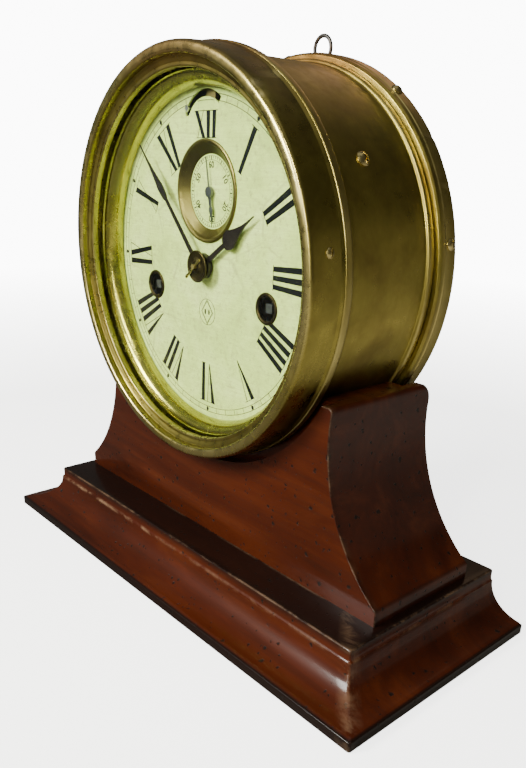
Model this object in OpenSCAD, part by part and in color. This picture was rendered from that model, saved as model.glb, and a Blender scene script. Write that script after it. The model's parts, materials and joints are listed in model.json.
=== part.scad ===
// Eight-day ship's clock with time and strike, in a spun brass drum on a wooden mantel base.
// Millimetres. +Z is up, the dial faces -Y, and X runs to the right of someone facing the dial.
// The origin is the middle of the base's bounding box, on the surface it stands on.

/* [Base] */
// Width of the plinth's flat top
plinth_w = 262; // [256:1:280]
// Depth of the plinth's flat top
plinth_d = 110; // [108:1:116]
// Height of the plinth
plinth_h = 28.5; // [26:0.5:32]
// How far the cove moulding stands out at the front and the two sides
mould_out = 21.5; // [16:0.5:26]
// Height of the thin edge below the cove
lip_h = 5.5; // [4:0.5:7]
// Width of the saddle where it stands on the plinth
saddle_w = 252; // [248:1:256]
// Depth of the saddle
saddle_d = 71; // [70:0.5:74]
// Height of the saddle's plain foot band
foot_h = 8; // [6:0.5:10]

/* [Case] */
// Height of the drum's centre line above the table
axis_z = 172; // [170:0.5:176]
// Outer radius of the drum's plain barrel
barrel_r = 91; // [90.5:0.1:91.5]
// Wall of the spun brass barrel
wall = 1.4; // [1.2:0.1:1.6]
// Outer radius of the rear flange
flange_r = 96; // [95:0.5:97]
// Number of round-head screws in the rear flange
flange_screw_count = 8; // [4:1:10]
// Radius of the rounded front rim of the bezel
bezel_r = 92; // [91.5:0.1:92.5]

/* [Dial] */
// Radius of the dial plate
dial_r = 82; // [80:0.5:84]
// Height of the seconds arbor above the drum's centre
seconds_z = 33.3; // [32.8:0.1:33.8]
// Radius of the brass ring round the seconds dial
seconds_ring_r = 22.7; // [22:0.1:23.5]
// Sideways distance from the centre to each winding hole
winding_x = 44.7; // [44.2:0.1:45.2]
// Distance of the winding holes below the centre
winding_z = 14.2; // [13.7:0.1:14.7]
// Height of the balance and the regulator's pivot above the centre
balance_z = 57.5; // [57:0.5:58]
// Radius of the regulator's slot
regulator_r = 17; // [16:0.5:17.5]

/* [Hands] */
// Clock time shown by the hour hand, in degrees from XII
hour_angle = 56.5; // [50:0.5:60]
// Clock time shown by the minute hand, in degrees from XII
minute_angle = 318; // [310:1:325]
// Position of the seconds hand, in degrees from its sixty
seconds_angle = -9; // [-20:1:20]

/* [Hidden] */
$fn = 96;
fine = 144;
clear = 0.05;

// Depths along Y
base_back = (plinth_d + mould_out) / 2;
plinth_front = base_back - plinth_d;
seam_y = -23.4;
saddle_front = seam_y + 0.3;
rim_y = -41.5;
glass_y = -33.4;
glass_t = 2.4;
reflector_y = glass_y + glass_t + 0.1;
dial_y = -21;
dial_t = 1;
front_plate_y = -8;
plate_t = 2;
inner_y = front_plate_y + plate_t;
back_plate_y = 20;
flange_y = 36.5;
case_back_y = 49;
barrel_end_y = 47;
bead_r = 2.3;
bead_y = seam_y + 0.1 + bead_r;
barrel_in = barrel_r - wall;

// Saddle: both ends are concave arcs struck from outside the base
side_arc_r = 90.9;
saddle_half = saddle_w / 2;
foot_top = plinth_h + foot_h;
saddle_tip_z = 122.5;
arm_x = 90.4;
side_arc_z = 108.2;
side_arc_x = arm_x + side_arc_r;
rebate_r = 98.5;
cradle_r = barrel_r + 0.2;

// Arbor positions, as [x, z] from the drum's centre line
g_time = [winding_x, -winding_z];
g_strike = [-winding_x, -winding_z];
centre = [0, 0];
fourth = [0, seconds_z];
balance = [0, balance_z];
// Teeth and modules of the wheels
great_t = 72;
great_m = 0.85;
inter_t = 56;
inter_m = 0.77;
centre_t = 64;
centre_m = 0.7;
third_t = 60;
third_m = 0.6;
fourth_t = 64;
fourth_m = 0.5;
pinion_t = 8;
cannon_t = 12;
minute_t = 36;
minute_m = 0.6;
minute_pinion_t = 10;
hour_t = 40;
second_t = 48;
pin_t = 40;
escape_t = 15;
function mesh_gap(wheel, pinion, m) = (wheel + pinion) * m / 2;
great_gap = mesh_gap(great_t, pinion_t, great_m);
inter_gap = mesh_gap(inter_t, pinion_t, inter_m);
third_gap = mesh_gap(centre_t, pinion_t, centre_m);
fourth_gap = mesh_gap(third_t, pinion_t, third_m);
escape_gap = mesh_gap(fourth_t, pinion_t, fourth_m);
motion_gap = mesh_gap(minute_t, cannon_t, minute_m);
hour_m = 2 * motion_gap / (hour_t + minute_pinion_t);
second_m = 0.75;
second_gap = mesh_gap(second_t, pinion_t, second_m);
pin_m = 0.6;
fly_gap = mesh_gap(pin_t, pinion_t, pin_m);
// The point at distance ra from a and rb from b, on the side that side names
function meet(a, ra, b, rb, side) =
  let (d = norm(b - a), u = (b - a) / d, s = (ra * ra - rb * rb + d * d) / (2 * d),
       h = sqrt(ra * ra - s * s))
  a + s * u + side * h * [-u[1], u[0]];
function polar(r, a) = [r * cos(a), r * sin(a)];
function heading(a, b) = atan2(b[1] - a[1], b[0] - a[0]);
intermediate = meet(centre, inter_gap, g_time, great_gap, -1);
third = meet(centre, third_gap, fourth, fourth_gap, -1);
escape = fourth + polar(escape_gap, 166.5);
minute = [0, -motion_gap];
strike_second = g_strike + polar(great_gap, 60.5);
pin_arbor = strike_second + polar(second_gap, 145);
fly_arbor = pin_arbor + polar(fly_gap, 100);
hammer_arbor = [-68, 20];
bell_at = [10, 0];
bell_r = 40;

// Levels along Y of the wheels
great_y = inner_y + 2;
drum_y = great_y + 3;
drum_len = 11.5;
spring_r = 21;
inter_y = inner_y + 21;
second_y = inner_y + 17.6;
centre_y = inner_y + 9;
third_y = inner_y + 13.5;
fourth_y = inner_y + 5;
pin_y = inner_y + 11;
wheel_t = 1.4;
great_wheel_t = 2.4;
minute_y = -11;
hour_y = -17.2;
lever_y = -11.2;
balance_y = -14.6;
hairspring_y = -16.2;
cock_y = -18.2;
cock_t = 1.2;
hand_y = -24.2;
hour_hand_t = 0.9;
minute_hand_y = -26.6;
minute_hand_t = 0.7;
hand_square = 3.4;
seconds_hand_y = -19.7;
arbor_r = 1.2;
pivot_r = 0.7;
square = 4.2;
winding_r = 3;
ratchet_r = 9;
square_y = -19.6;

// Colours
brass = [0.62, 0.47, 0.2];
dull_brass = [0.5, 0.4, 0.2];
steel = [0.6, 0.61, 0.63];
dark_steel = [0.1, 0.1, 0.11];
mahogany = [0.3, 0.09, 0.05];
dial_cream = [0.86, 0.88, 0.74];

// ---- Building blocks ----

// Moves its children to an arbor, given from the drum's centre line
module at(p) {
  translate([p[0], 0, axis_z + p[1]]) children();
}
// An outline drawn facing the dial, from depth y over thickness t
module slab(y, t) {
  translate([0, y + t, 0]) rotate([90, 0, 0]) linear_extrude(height = t) children();
}
// A round rod along Y
module rod(r, y0, y1) {
  translate([0, y1, 0]) rotate([90, 0, 0]) cylinder(r = r, h = y1 - y0);
}
// A square rod along Y
module square_rod(w, y0, y1) {
  translate([-w / 2, y0, -w / 2]) cube([w, y1 - y0, w]);
}
// A body turned about the Y axis: each point is [radius, y]
module turned(points) {
  rotate([-90, 0, 0]) rotate_extrude($fn = fine) polygon(points);
}
// A torus about the Y axis
module turned_bead(r, y, bead) {
  rotate([-90, 0, 0]) rotate_extrude($fn = fine) translate([r, y]) circle(r = bead, $fn = 32);
}
// A round-head screw along +Z: the underside of the head is at z = 0, the shank goes down
module screw(head_r, head_h, shank_r, shank_l) {
  difference() {
    intersection() {
      cylinder(r = head_r, h = head_h);
      translate([0, 0, head_h - head_r * 1.3]) sphere(r = head_r * 1.3);
    }
    translate([-head_r, -0.35, head_h * 0.6]) cube([2 * head_r, 0.7, head_h]);
  }
  translate([0, 0, -shank_l]) cylinder(r = shank_r, h = shank_l + 0.01);
}
// Points its children, drawn along +Z, straight out of the drum at an angle from the top
module radial(angle, r, y) {
  translate([0, y, axis_z]) rotate([0, angle, 0]) translate([0, 0, r]) children();
}
// One tooth: w holds its half widths at root, pitch and tip, as shares of the pitch angle p
function tooth(a, p, root, pitch, tip, w) = [
  [root * cos(a - w[0] * p), root * sin(a - w[0] * p)],
  [pitch * cos(a - w[1] * p), pitch * sin(a - w[1] * p)],
  [tip * cos(a - w[2] * p), tip * sin(a - w[2] * p)],
  [tip * cos(a + w[2] * p), tip * sin(a + w[2] * p)],
  [pitch * cos(a + w[1] * p), pitch * sin(a + w[1] * p)],
  [root * cos(a + w[0] * p), root * sin(a + w[0] * p)]];
wheel_shape = [0.24, 0.2, 0.07];
pinion_shape = [0.17, 0.17, 0.07];
module gear_outline(teeth, m, first, shape) {
  pitch = teeth * m / 2;
  step = 360 / teeth;
  polygon([for (i = [0 : teeth - 1], q = tooth(first + i * step, step, pitch - 1.25 * m, pitch,
    pitch + 0.85 * m, shape)) q]);
}
// A spoked wheel with a tooth pointing towards its pinion
module wheel_outline(teeth, m, first, hub, spokes) {
  rim = teeth * m / 2 - 1.25 * m - 1.8;
  difference() {
    gear_outline(teeth, m, first, wheel_shape);
    difference() {
      circle(r = rim);
      circle(r = hub);
      for (i = [0 : spokes - 1])
        rotate(i * 360 / spokes + 20) translate([0, -1]) square([rim + 1, 2]);
    }
  }
}
// A pinion with a gap pointing towards its wheel
module pinion(teeth, m, towards, y, len) {
  slab(y, len) gear_outline(teeth, m, towards + 180 / teeth, pinion_shape);
}
// An arbor between the plates, with a pivot at each end
module arbor(r) {
  rod(r, inner_y + 0.3, back_plate_y - 0.3);
  rod(pivot_r, front_plate_y + 0.2, back_plate_y + plate_t - 0.2);
}
// A flat spiral strip
module spiral(r0, r1, turns, w, steps) {
  function rad(i) = r0 + (r1 - r0) * i / (turns * steps);
  outer = [for (i = [0 : turns * steps]) polar(rad(i) + w / 2, i * 360 / steps)];
  inner = [for (i = [turns * steps : -1 : 0]) polar(rad(i) - w / 2, i * 360 / steps)];
  polygon(concat(outer, inner));
}

// ---- Base ----

// The cove is a quarter ellipse that starts above the lip and dies into the fascia
cove_rise = 16.5;
function cove(i, n) = [mould_out - (mould_out - 1) * sin(90 * i / n),
                       lip_h + cove_rise * (1 - cos(90 * i / n)) + 0.4];
module moulding_outline() {
  polygon(concat([[-20, 0], [mould_out - 0.8, 0], [mould_out, 0.8], [mould_out, lip_h - 0.6],
    [mould_out - 0.6, lip_h]], [for (i = [1 : 10]) cove(i, 10)], [[0, plinth_h - 1.2],
    [-1.2, plinth_h], [-20, plinth_h]]));
}
module plinth() {
  color(mahogany) difference() {
    union() {
      // Front moulding, mitred to the two side mouldings
      intersection() {
        translate([-plinth_w / 2 - mould_out, plinth_front, 0]) rotate([90, 0, 90])
          linear_extrude(height = plinth_w + 2 * mould_out) mirror([1, 0]) moulding_outline();
        translate([0, 0, -1]) linear_extrude(height = plinth_h + 2)
          polygon([[-plinth_w / 2 - mould_out, plinth_front - mould_out],
            [plinth_w / 2 + mould_out, plinth_front - mould_out],
            [plinth_w / 2 - 20, plinth_front + 20], [-plinth_w / 2 + 20, plinth_front + 20]]);
      }
      for (s = [-1, 1]) intersection() {
        translate([s * plinth_w / 2, base_back, 0]) rotate([90, 0, 0])
          linear_extrude(height = plinth_d + mould_out) mirror([s < 0 ? 1 : 0, 0])
          moulding_outline();
        translate([0, 0, -1]) linear_extrude(height = plinth_h + 2)
          polygon([[s * (plinth_w / 2 + mould_out), plinth_front - mould_out],
            [s * (plinth_w / 2 + mould_out), base_back], [s * (plinth_w / 2 - 20), base_back],
            [s * (plinth_w / 2 - 20), plinth_front + 20]]);
      }
      translate([-plinth_w / 2 + 19.9, plinth_front + 19.9, 0])
        cube([plinth_w - 39.8, plinth_d - 19.9, plinth_h]);
    }
    base_screw_places() translate([0, 0, -1]) cylinder(r = 2.6, h = plinth_h + 2);
    base_screw_places() translate([0, 0, -1]) cylinder(r = 5.5, h = 7);
  }
}
saddle_mid = saddle_front + saddle_d / 2;
module base_screw_places() {
  for (x = [-95, 95], y = [-18, 18]) translate([x, saddle_mid + y, 0]) children();
}
module base_screws() {
  color(steel) base_screw_places() {
    translate([0, 0, 3.5]) cylinder(r = 5, h = 2.5);
    translate([0, 0, 6]) cylinder(r = 2.4, h = 34);
  }
}
function side_x(z) = side_arc_x - sqrt(side_arc_r * side_arc_r - pow(z - side_arc_z, 2));
module saddle_outline() {
  steps = 14;
  side = [for (i = [0 : steps]) let (z = foot_top + 1 + (saddle_tip_z - foot_top - 4) * i / steps)
    [side_x(z), z]];
  right = concat([[saddle_half, plinth_h], [saddle_half, foot_top]], side,
    [[side_x(saddle_tip_z - 3) - 0.9, saddle_tip_z - 0.9],
     [side_x(saddle_tip_z - 3) - 3, saddle_tip_z]]);
  left = [for (i = [len(right) - 1 : -1 : 0]) [-right[i][0], right[i][1]]];
  polygon(concat(right, left));
}
module saddle() {
  color(mahogany) difference() {
    slab(saddle_front, saddle_d) saddle_outline();
    at(centre) {
      rod(cradle_r, saddle_front - 1, saddle_front + saddle_d + 1);
      rod(rebate_r, saddle_front - 1, saddle_front + 8);
      rod(rebate_r, flange_y - 4.2, saddle_front + saddle_d + 1);
    }
    base_screw_places() translate([0, 0, plinth_h - 1]) cylinder(r = 2.45, h = 13);
    drum_bolt_places() translate([0, 0, plinth_h - 1]) cylinder(r = 3.1, h = 70);
    drum_bolt_places() translate([0, 0, plinth_h - 1]) cylinder(r = 6, h = 10);
    saddle_back_round();
  }
}
// What is cut away to round the top of both arms at the back
module saddle_back_round() {
  r = 6.5;
  back = saddle_front + saddle_d;
  difference() {
    translate([-saddle_half, back - r, saddle_tip_z - r])
      cube([2 * saddle_half, r + 1, r + 1]);
    translate([-saddle_half - 1, back - r, saddle_tip_z - r]) rotate([0, 90, 0])
      cylinder(r = r, h = 2 * saddle_half + 2);
  }
}
module drum_bolt_places() {
  for (x = [-22, 22]) translate([x, saddle_mid, 0]) children();
}
bolt_top = axis_z - sqrt(barrel_in * barrel_in - 22 * 22) + 7;
module drum_bolts() {
  color(steel) drum_bolt_places() {
    translate([0, 0, plinth_h + 4]) cylinder(r = 5.5, h = 5);
    translate([0, 0, plinth_h + 8.9]) cylinder(r = 2.95, h = bolt_top - plinth_h - 8.9);
    translate([0, 0, bolt_top - 5]) rotate(30) cylinder(r = 5.8, h = 3, $fn = 6);
  }
}

// ---- Case ----

module case_barrel() {
  color(brass) difference() {
    union() {
      at(centre) {
        turned([[barrel_in, seam_y + 0.1], [barrel_r + 0.6, seam_y + 0.1], [barrel_r + 0.6, bead_y],
          [barrel_r, bead_y + bead_r], [barrel_r, barrel_end_y], [barrel_in, barrel_end_y]]);
        turned_bead(barrel_r + 0.9, bead_y, bead_r);
        turned_bead(barrel_r + 0.1, flange_y - 2, 1.6);
      }
    }
    at(centre) rod(barrel_in, seam_y - 5, case_back_y);
    flange_screw_places(barrel_r - 5) cylinder(r = 1.6, h = 10);
    barrel_screw_places(barrel_r - 5) cylinder(r = 1.8, h = 10);
    drum_bolt_places() translate([0, 0, axis_z - barrel_r - 5]) cylinder(r = 3.1, h = 20);
  }
}
flange_screw_y = 43.5;
flange_screw_angle = 35.7;
module flange_screw_places(r) {
  for (i = [0 : flange_screw_count - 1])
    radial(flange_screw_angle + i * 360 / flange_screw_count, r, flange_screw_y) children();
}
module rear_flange() {
  color(brass) difference() {
    at(centre) turned([[barrel_r + clear, flange_y], [flange_r - 1.4, flange_y],
      [flange_r - 0.4, flange_y + 1], [flange_r - 0.4, flange_y + 3.4], [flange_r, flange_y + 3.8],
      [flange_r, case_back_y - 1.6], [flange_r - 1.2, case_back_y - 0.3],
      [flange_r - 2.4, case_back_y], [barrel_r + clear, case_back_y]]);
    flange_screw_places(barrel_r - 5) cylinder(r = 1.6, h = 15);
    radial(105, flange_r - 2.5, flange_screw_y) cylinder(r = 1.4, h = 5);
    at([0, eye_z]) rod(1.3, case_back_y - 6, case_back_y + 1);
  }
}
module flange_screws() {
  color(brass) flange_screw_places(flange_r) screw(2.7, 1.6, 1.5, 7.5);
}
module back_cover() {
  color(dull_brass) at(centre) turned([[0, barrel_end_y + 0.1], [barrel_r - 0.3, barrel_end_y + 0.1],
    [barrel_r - 0.3, case_back_y - 0.5], [86, case_back_y - 0.5], [84, case_back_y - 0.9],
    [0, case_back_y - 0.9]]);
}
barrel_screw_y = 0.5;
module barrel_screw_places(r) {
  for (a = [57.6, -57.6]) radial(a, r, barrel_screw_y) children();
}
module barrel_screws() {
  color(brass) barrel_screw_places(barrel_r) screw(3.3, 2, 1.7, 6);
}
module mounting_ring() {
  color(dull_brass) difference() {
    at(centre) turned([[82, inner_y + 0.05], [barrel_in - 0.1, inner_y + 0.05],
      [barrel_in - 0.1, 5], [86.5, 5], [86.5, -2], [82, -2]]);
    barrel_screw_places(80) cylinder(r = 1.75, h = 12);
    ring_screw_places() rod(1.6, -10, 6);
  }
}
module ring_screw_places() {
  for (a = [20, 160, 200, 340]) at(polar(84.3, a)) children();
}
// The staple is an eye on the back of the rear flange; the wire ring is threaded through it
eye_y = case_back_y + 2.5;
eye_z = flange_r - 2.6;
eye_r = 2.3;
ring_mid = 5.6;
ring_wire = 1;
module ring_staple() {
  color(dark_steel) at([0, eye_z]) difference() {
    union() {
      rod(1.25, case_back_y - 5, eye_y - 1.5);
      translate([-0.9, eye_y, 0]) rotate([0, 90, 0]) cylinder(r = eye_r, h = 1.8);
    }
    translate([-3, eye_y, 0]) rotate([0, 90, 0]) cylinder(r = ring_wire + 0.25, h = 6);
  }
}
module hanging_ring() {
  color(dark_steel) at([0, eye_z + ring_mid]) translate([0, eye_y, 0]) rotate([90, 0, 0])
    rotate_extrude($fn = 72) translate([ring_mid, 0]) circle(r = ring_wire, $fn = 24);
}

// ---- Bezel ----

module bezel() {
  color(brass) difference() {
    at(centre) turned([[barrel_r + 2, seam_y - 0.1], [bezel_r + 1, seam_y - 2],
      [bezel_r + 0.7, rim_y + 6], [bezel_r + 0.2, rim_y + 2.4], [bezel_r - 0.9, rim_y + 0.6],
      [bezel_r - 2.2, rim_y], [bezel_r - 3.6, rim_y + 0.4], [bezel_r - 4.4, rim_y + 1.4],
      [bezel_r - 4.9, rim_y + 3.2], [bezel_r - 5.6, rim_y + 3.9], [bezel_r - 6.6, rim_y + 4.2],
      [bezel_r - 7.6, rim_y + 4.8], [bezel_r - 8.6, rim_y + 4.9], [bezel_r - 9.2, rim_y + 5.6],
      [bezel_r - 9.0, rim_y + 6.5], [bezel_r - 8.3, rim_y + 6.8], [bezel_r - 8.2, glass_y - 0.1],
      [bezel_r - 5.5, glass_y - 0.1], [bezel_r - 5.5, reflector_y + 1.3],
      [bezel_r - 4.4, reflector_y + 1.3], [bezel_r - 4.2, rim_y + 6.3], [bezel_r - 1.4, rim_y + 5],
      [bezel_r - 0.8, seam_y - 4], [bezel_r - 0.6, seam_y - 0.1]]);
    radial(80.7, bezel_r - 4, catch_y) cylinder(r = 1.3, h = 8);
    radial(105, bezel_r - 0.2, -33) cylinder(r = 0.7, h = 3);
    translate([-bezel_r - 3, seam_y - 5.6, axis_z - hinge_h / 2 - 0.3])
      cube([3.2, 6, hinge_h + 0.6]);
  }
}
module glass() {
  color([0.8, 0.9, 0.9, 0.3]) at(centre) turned([[0, glass_y], [bezel_r - 5.7, glass_y],
    [bezel_r - 5.7, glass_y + glass_t], [0, glass_y + glass_t]]);
}
// Concave polished ring that holds the glass and hides the edge of the dial
module reflector_ring() {
  n = 8;
  back = dial_y - 0.7;
  front = reflector_y;
  r0 = bezel_r - 10;
  r1 = 76.6;
  curve = [for (i = [0 : n]) [r0 - (r0 - r1) * sin(90 * i / n),
    front + 0.9 + (back - front - 0.9) * (1 - cos(90 * i / n))]];
  shell = [for (i = [n : -1 : 0]) [r0 + 1.1 - (r0 - r1) * sin(90 * i / n),
    front + 1.4 + (back - front - 1.4) * (1 - cos(90 * i / n))]];
  color(brass) at(centre) turned(concat([[bezel_r - 5.6, front + 1.2], [bezel_r - 5.6, front],
    [r0 + 0.4, front]], curve, [for (i = [0 : n - 1]) shell[i]]));
}
// Hinge at nine o'clock, its pin upright in the plane of the seam
hinge_h = 30;
hinge_x = -98.2;
hinge_y = seam_y;
knuckle_r = 2.2;
hinge_pin_r = 1.1;
module knuckle(z0, len) {
  translate([hinge_x, hinge_y, z0]) cylinder(r = knuckle_r, h = len);
}
module leaf_bore() {
  translate([hinge_x, hinge_y, axis_z - hinge_h]) cylinder(r = hinge_pin_r + clear, h = 2 * hinge_h);
}
module bezel_hinge_leaf() {
  color(brass) difference() {
    union() {
      knuckle(axis_z - 4.9, 9.8);
      translate([hinge_x, hinge_y - knuckle_r, axis_z - 4.9]) cube([5, 1.3, 9.8]);
      translate([-bezel_r - 2.6, seam_y - 5.3, axis_z - hinge_h / 2]) cube([2.6, 5, hinge_h]);
    }
    leaf_bore();
    at(centre) rod(bezel_r - 0.2, seam_y - 8, seam_y + 3);
  }
}
module case_hinge_leaf() {
  color(brass) difference() {
    union() {
      for (s = [-1, 1]) knuckle(axis_z + s * 10.1 - 4.9, 9.8);
      for (s = [-1, 1])
        translate([hinge_x, hinge_y + knuckle_r - 1.3, axis_z + s * 10.1 - 4.9]) cube([3.6, 1.3, 9.8]);
      translate([-barrel_r - 4.7, seam_y + 0.6, axis_z - hinge_h / 2]) cube([4, 10, hinge_h]);
    }
    leaf_bore();
    at(centre) {
      rod(barrel_r + 0.02, seam_y - 8, seam_y + 12);
      turned_bead(barrel_r + 0.9, bead_y, bead_r + 0.02);
    }
  }
}
module hinge_pin() {
  color(steel) translate([hinge_x, hinge_y, axis_z - hinge_h / 2 - 1])
    cylinder(r = hinge_pin_r, h = hinge_h + 2);
}
// Spring tongue inside the skirt that snaps behind the front of the barrel
catch_y = -31;
module bezel_catch() {
  color(steel) difference() {
    union() {
      radial(80.7, bezel_r - 3.2, -30) translate([-3, -4.5, 0]) cube([6, 9, 1.8]);
      radial(80.7, bezel_r - 3.2, -23) translate([-1.4, -3, 0]) cube([2.8, 8, 0.5]);
    }
    radial(80.7, bezel_r - 6, catch_y) cylinder(r = 1.15, h = 8);
  }
}
module catch_screw() {
  color(brass) radial(80.7, bezel_r + 0.9, catch_y) screw(2.2, 1.3, 1.1, 5);
}

// ---- Dial ----

slot_from = -57;
slot_to = 37;
slot_w = 3.1;
// An arc-shaped outline about the regulator's pivot, angles measured from XII. Its first end
// is round and its second end is cut square.
module arc_slot(r, w, from, to) {
  steps = 12;
  function along(i) = 90 - from - (to - from) * i / steps;
  outer = [for (i = [0 : steps]) polar(r + w / 2, along(i))];
  inner = [for (i = [steps : -1 : 0]) polar(r - w / 2, along(i))];
  polygon(concat(outer, inner));
  rotate(90 - from) translate([r, 0]) circle(r = w / 2, $fn = 24);
}
eyelet_r = 7.5;
module dial() {
  color(dial_cream) at(centre) slab(dial_y, dial_t) difference() {
    circle(r = dial_r, $fn = fine);
    circle(r = 4.6);
    translate(fourth) circle(r = seconds_ring_r - 1.5);
    for (p = [g_time, g_strike]) translate(p) circle(r = eyelet_r - 0.9);
    translate(balance) arc_slot(regulator_r, slot_w, slot_from, slot_to);
  }
}
module dial_feet() {
  color(dull_brass) for (a = [38, 142, 218, 322]) at(polar(76, a))
    rod(1.8, dial_y + dial_t, front_plate_y);
}
module seconds_dial() {
  color(dial_cream) at(fourth) slab(dial_y + 3, 0.6) difference() {
    circle(r = 17.2);
    circle(r = 1.7);
  }
}
module seconds_ring() {
  r = seconds_ring_r;
  color(brass) at(fourth) turned([[r, dial_y - 0.05], [r, dial_y - 0.5], [r - 0.7, dial_y - 0.9],
    [r - 1.6, dial_y - 0.7], [r - 2.6, dial_y + 0.2], [16.6, dial_y + 2.6], [16.4, dial_y + 2.95],
    [17.4, dial_y + 2.95], [r - 2.4, dial_y + 1.5], [r - 1.6, dial_y + 0.8],
    [r - 1.6, dial_y - 0.05]]);
}
module winding_eyelets() {
  color(brass) for (p = [g_time, g_strike]) at(p) turned([[eyelet_r - 2.1, dial_y - 0.3],
    [eyelet_r - 1.5, dial_y - 0.8], [eyelet_r - 0.6, dial_y - 0.8], [eyelet_r, dial_y - 0.05],
    [eyelet_r - 1, dial_y - 0.05], [eyelet_r - 1, dial_y + 1.6], [eyelet_r - 2.1, dial_y + 1.6]]);
}

// ---- Hands ----

// Half widths and heights of a hand's spade: round at its foot, then drawn out to a fine tip
function spade(neck, foot, wide_at, wide, tip) = concat(
  [for (i = [0 : 8]) let (a = 90 * i / 8)
    [neck + (wide - neck) * sin(a), foot + (wide_at - foot) * (1 - cos(a))]],
  [for (i = [1 : 12]) let (t = i / 12)
    [(wide - 0.42) * pow(1 - t, 2.4) + 0.3 * (1 - t) + 0.12, wide_at + (tip - wide_at) * t]]);
// A hand points up: a hub, a plain stem, and a spade that ends in the tip
module hand_outline(hub, stem, neck, foot, wide_at, wide, tip) {
  side = spade(neck, foot, wide_at, wide, tip);
  circle(r = hub);
  polygon(concat([[-stem, 0], [stem, 0]], side,
    [for (i = [len(side) - 1 : -1 : 0]) [-side[i][0], side[i][1]]]));
}
hour_boss_r = 6;
module hour_hand() {
  color(dark_steel) at(centre) difference() {
    union() {
      rotate([0, hour_angle, 0]) slab(hand_y, hour_hand_t)
        hand_outline(hour_boss_r - 0.5, 1.35, 1, 20, 25.8, 4.4, 45);
      rod(hour_boss_r, hand_y - 0.5, hand_y + 1.8);
    }
    rod(3.22, hand_y - 2, hand_y + 4);
  }
}
module minute_hand() {
  color(dark_steel) at(centre) difference() {
    rotate([0, minute_angle, 0]) slab(minute_hand_y, minute_hand_t)
      hand_outline(4, 1.25, 0.75, 39, 46.7, 2, 71.5);
    square_rod(hand_square + 0.1, minute_hand_y - 1, minute_hand_y + 2);
  }
}
module seconds_hand() {
  color(dark_steel) at(fourth) difference() {
    union() {
      rotate([0, seconds_angle, 0]) slab(seconds_hand_y, 0.45) {
        circle(r = 2.1);
        polygon([[-0.42, 0], [0.42, 0], [0.12, 15.4], [-0.12, 15.4]]);
        rotate(180) hand_outline(2.1, 1.3, 0.6, 6.6, 8.4, 1.3, 14);
      }
      rod(2.4, seconds_hand_y - 0.4, seconds_hand_y + 1);
    }
    rod(0.71, seconds_hand_y - 0.2, seconds_hand_y + 3);
  }
}
washer_r = 7.5;
// The washer is dished, and sits over the end of the centre arbor in front of the minute hand
module hand_washer() {
  back = minute_hand_y - 0.02;
  color(brass) at(centre) difference() {
    turned([[0, minute_hand_y - 1.4], [2.7, minute_hand_y - 1.4], [3.3, minute_hand_y - 0.9],
      [4.4, minute_hand_y - 0.65], [6.3, minute_hand_y - 0.8], [7.1, minute_hand_y - 1.1],
      [washer_r, minute_hand_y - 0.8], [washer_r, minute_hand_y - 0.3], [washer_r - 0.4, back],
      [0, back]]);
    rod(1.22, minute_hand_y - 3, minute_hand_y + 1);
  }
}
// The taper pin crosses the tip of the centre arbor at a slant
module across_arbor(x) {
  at(centre) translate([0, minute_hand_y - 2.1, 0]) rotate([0, 50, 0]) translate([0, 0, x]) children();
}
module taper_pin() {
  color(brass) across_arbor(-8.6) cylinder(r1 = 0.68, r2 = 0.5, h = 14.2);
}
regulator_rest = -50;
module regulator_lever() {
  color(steel) at(balance) rotate([0, regulator_rest, 0]) difference() {
    union() {
      slab(cock_y - 1.1, 0.9) {
        circle(r = 3.6);
        translate([-0.9, 0]) square([1.8, regulator_r + 0.8]);
      }
      translate([0, 0, regulator_r]) rod(0.95, dial_y - 1.4, cock_y - 0.3);
      slab(dial_y - 1.5, 0.8) translate([-1.1, regulator_r - 1.1]) square([2.2, 2.2]);
    }
    rod(2.05, cock_y - 3, cock_y + 1);
  }
}

// ---- Movement frame ----

pillar_places = [[49.5, -49.5], [-49.5, -49.5], [31, 65.5], [-31, 65.5]];
module pivot_holes() {
  for (p = [intermediate, third, fourth, escape, strike_second, pin_arbor, fly_arbor,
    hammer_arbor]) translate(p) circle(r = pivot_r + clear, $fn = 32);
}
// Studs riveted in the front plate carry the minute wheel, the pallet lever and the two clicks
minute_stud_r = 0.9;
lever_stud_r = 0.5;
click_stud_r = 1;
module front_plate() {
  color(brass) {
    at(centre) slab(front_plate_y, plate_t) difference() {
      circle(r = 87, $fn = fine);
      pivot_holes();
      circle(r = arbor_r + clear, $fn = 32);
      translate(escape) circle(r = arbor_r + clear, $fn = 32);
      translate(balance) circle(r = balance_pivot_r + clear, $fn = 32);
      for (p = [g_time, g_strike]) translate(p) circle(r = winding_r + clear, $fn = 48);
      for (p = pillar_places) translate(p) circle(r = 1.6, $fn = 32);
      for (a = [20, 160, 200, 340]) translate(polar(84.3, a)) circle(r = 1.6, $fn = 32);
    }
    at(minute) rod(minute_stud_r, hour_y - 0.7, front_plate_y + 0.1);
    at(lever_pivot) rod(lever_stud_r, lever_y - 0.9, front_plate_y + 0.1);
    for (g = [g_time, g_strike]) at(click_at(g)) rod(click_stud_r, front_plate_y - 3.3, front_plate_y + 0.1);
  }
}
module movement_back_plate() {
  color(brass) at(centre) slab(back_plate_y, plate_t) difference() {
    circle(r = 78, $fn = fine);
    pivot_holes();
    circle(r = pivot_r + clear, $fn = 32);
    for (p = [g_time, g_strike]) translate(p) circle(r = 2 + clear, $fn = 32);
    translate(hammer_arbor) circle(r = 1.5 + clear, $fn = 32);
    for (p = pillar_places) translate(p) circle(r = 1.6, $fn = 32);
  }
}
module pillars() {
  color(brass) for (p = pillar_places) at(p) difference() {
    rod(3.5, inner_y, back_plate_y);
    rod(1.55, inner_y - 1, inner_y + 8);
    rod(1.55, back_plate_y - 8, back_plate_y + 1);
  }
}
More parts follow.
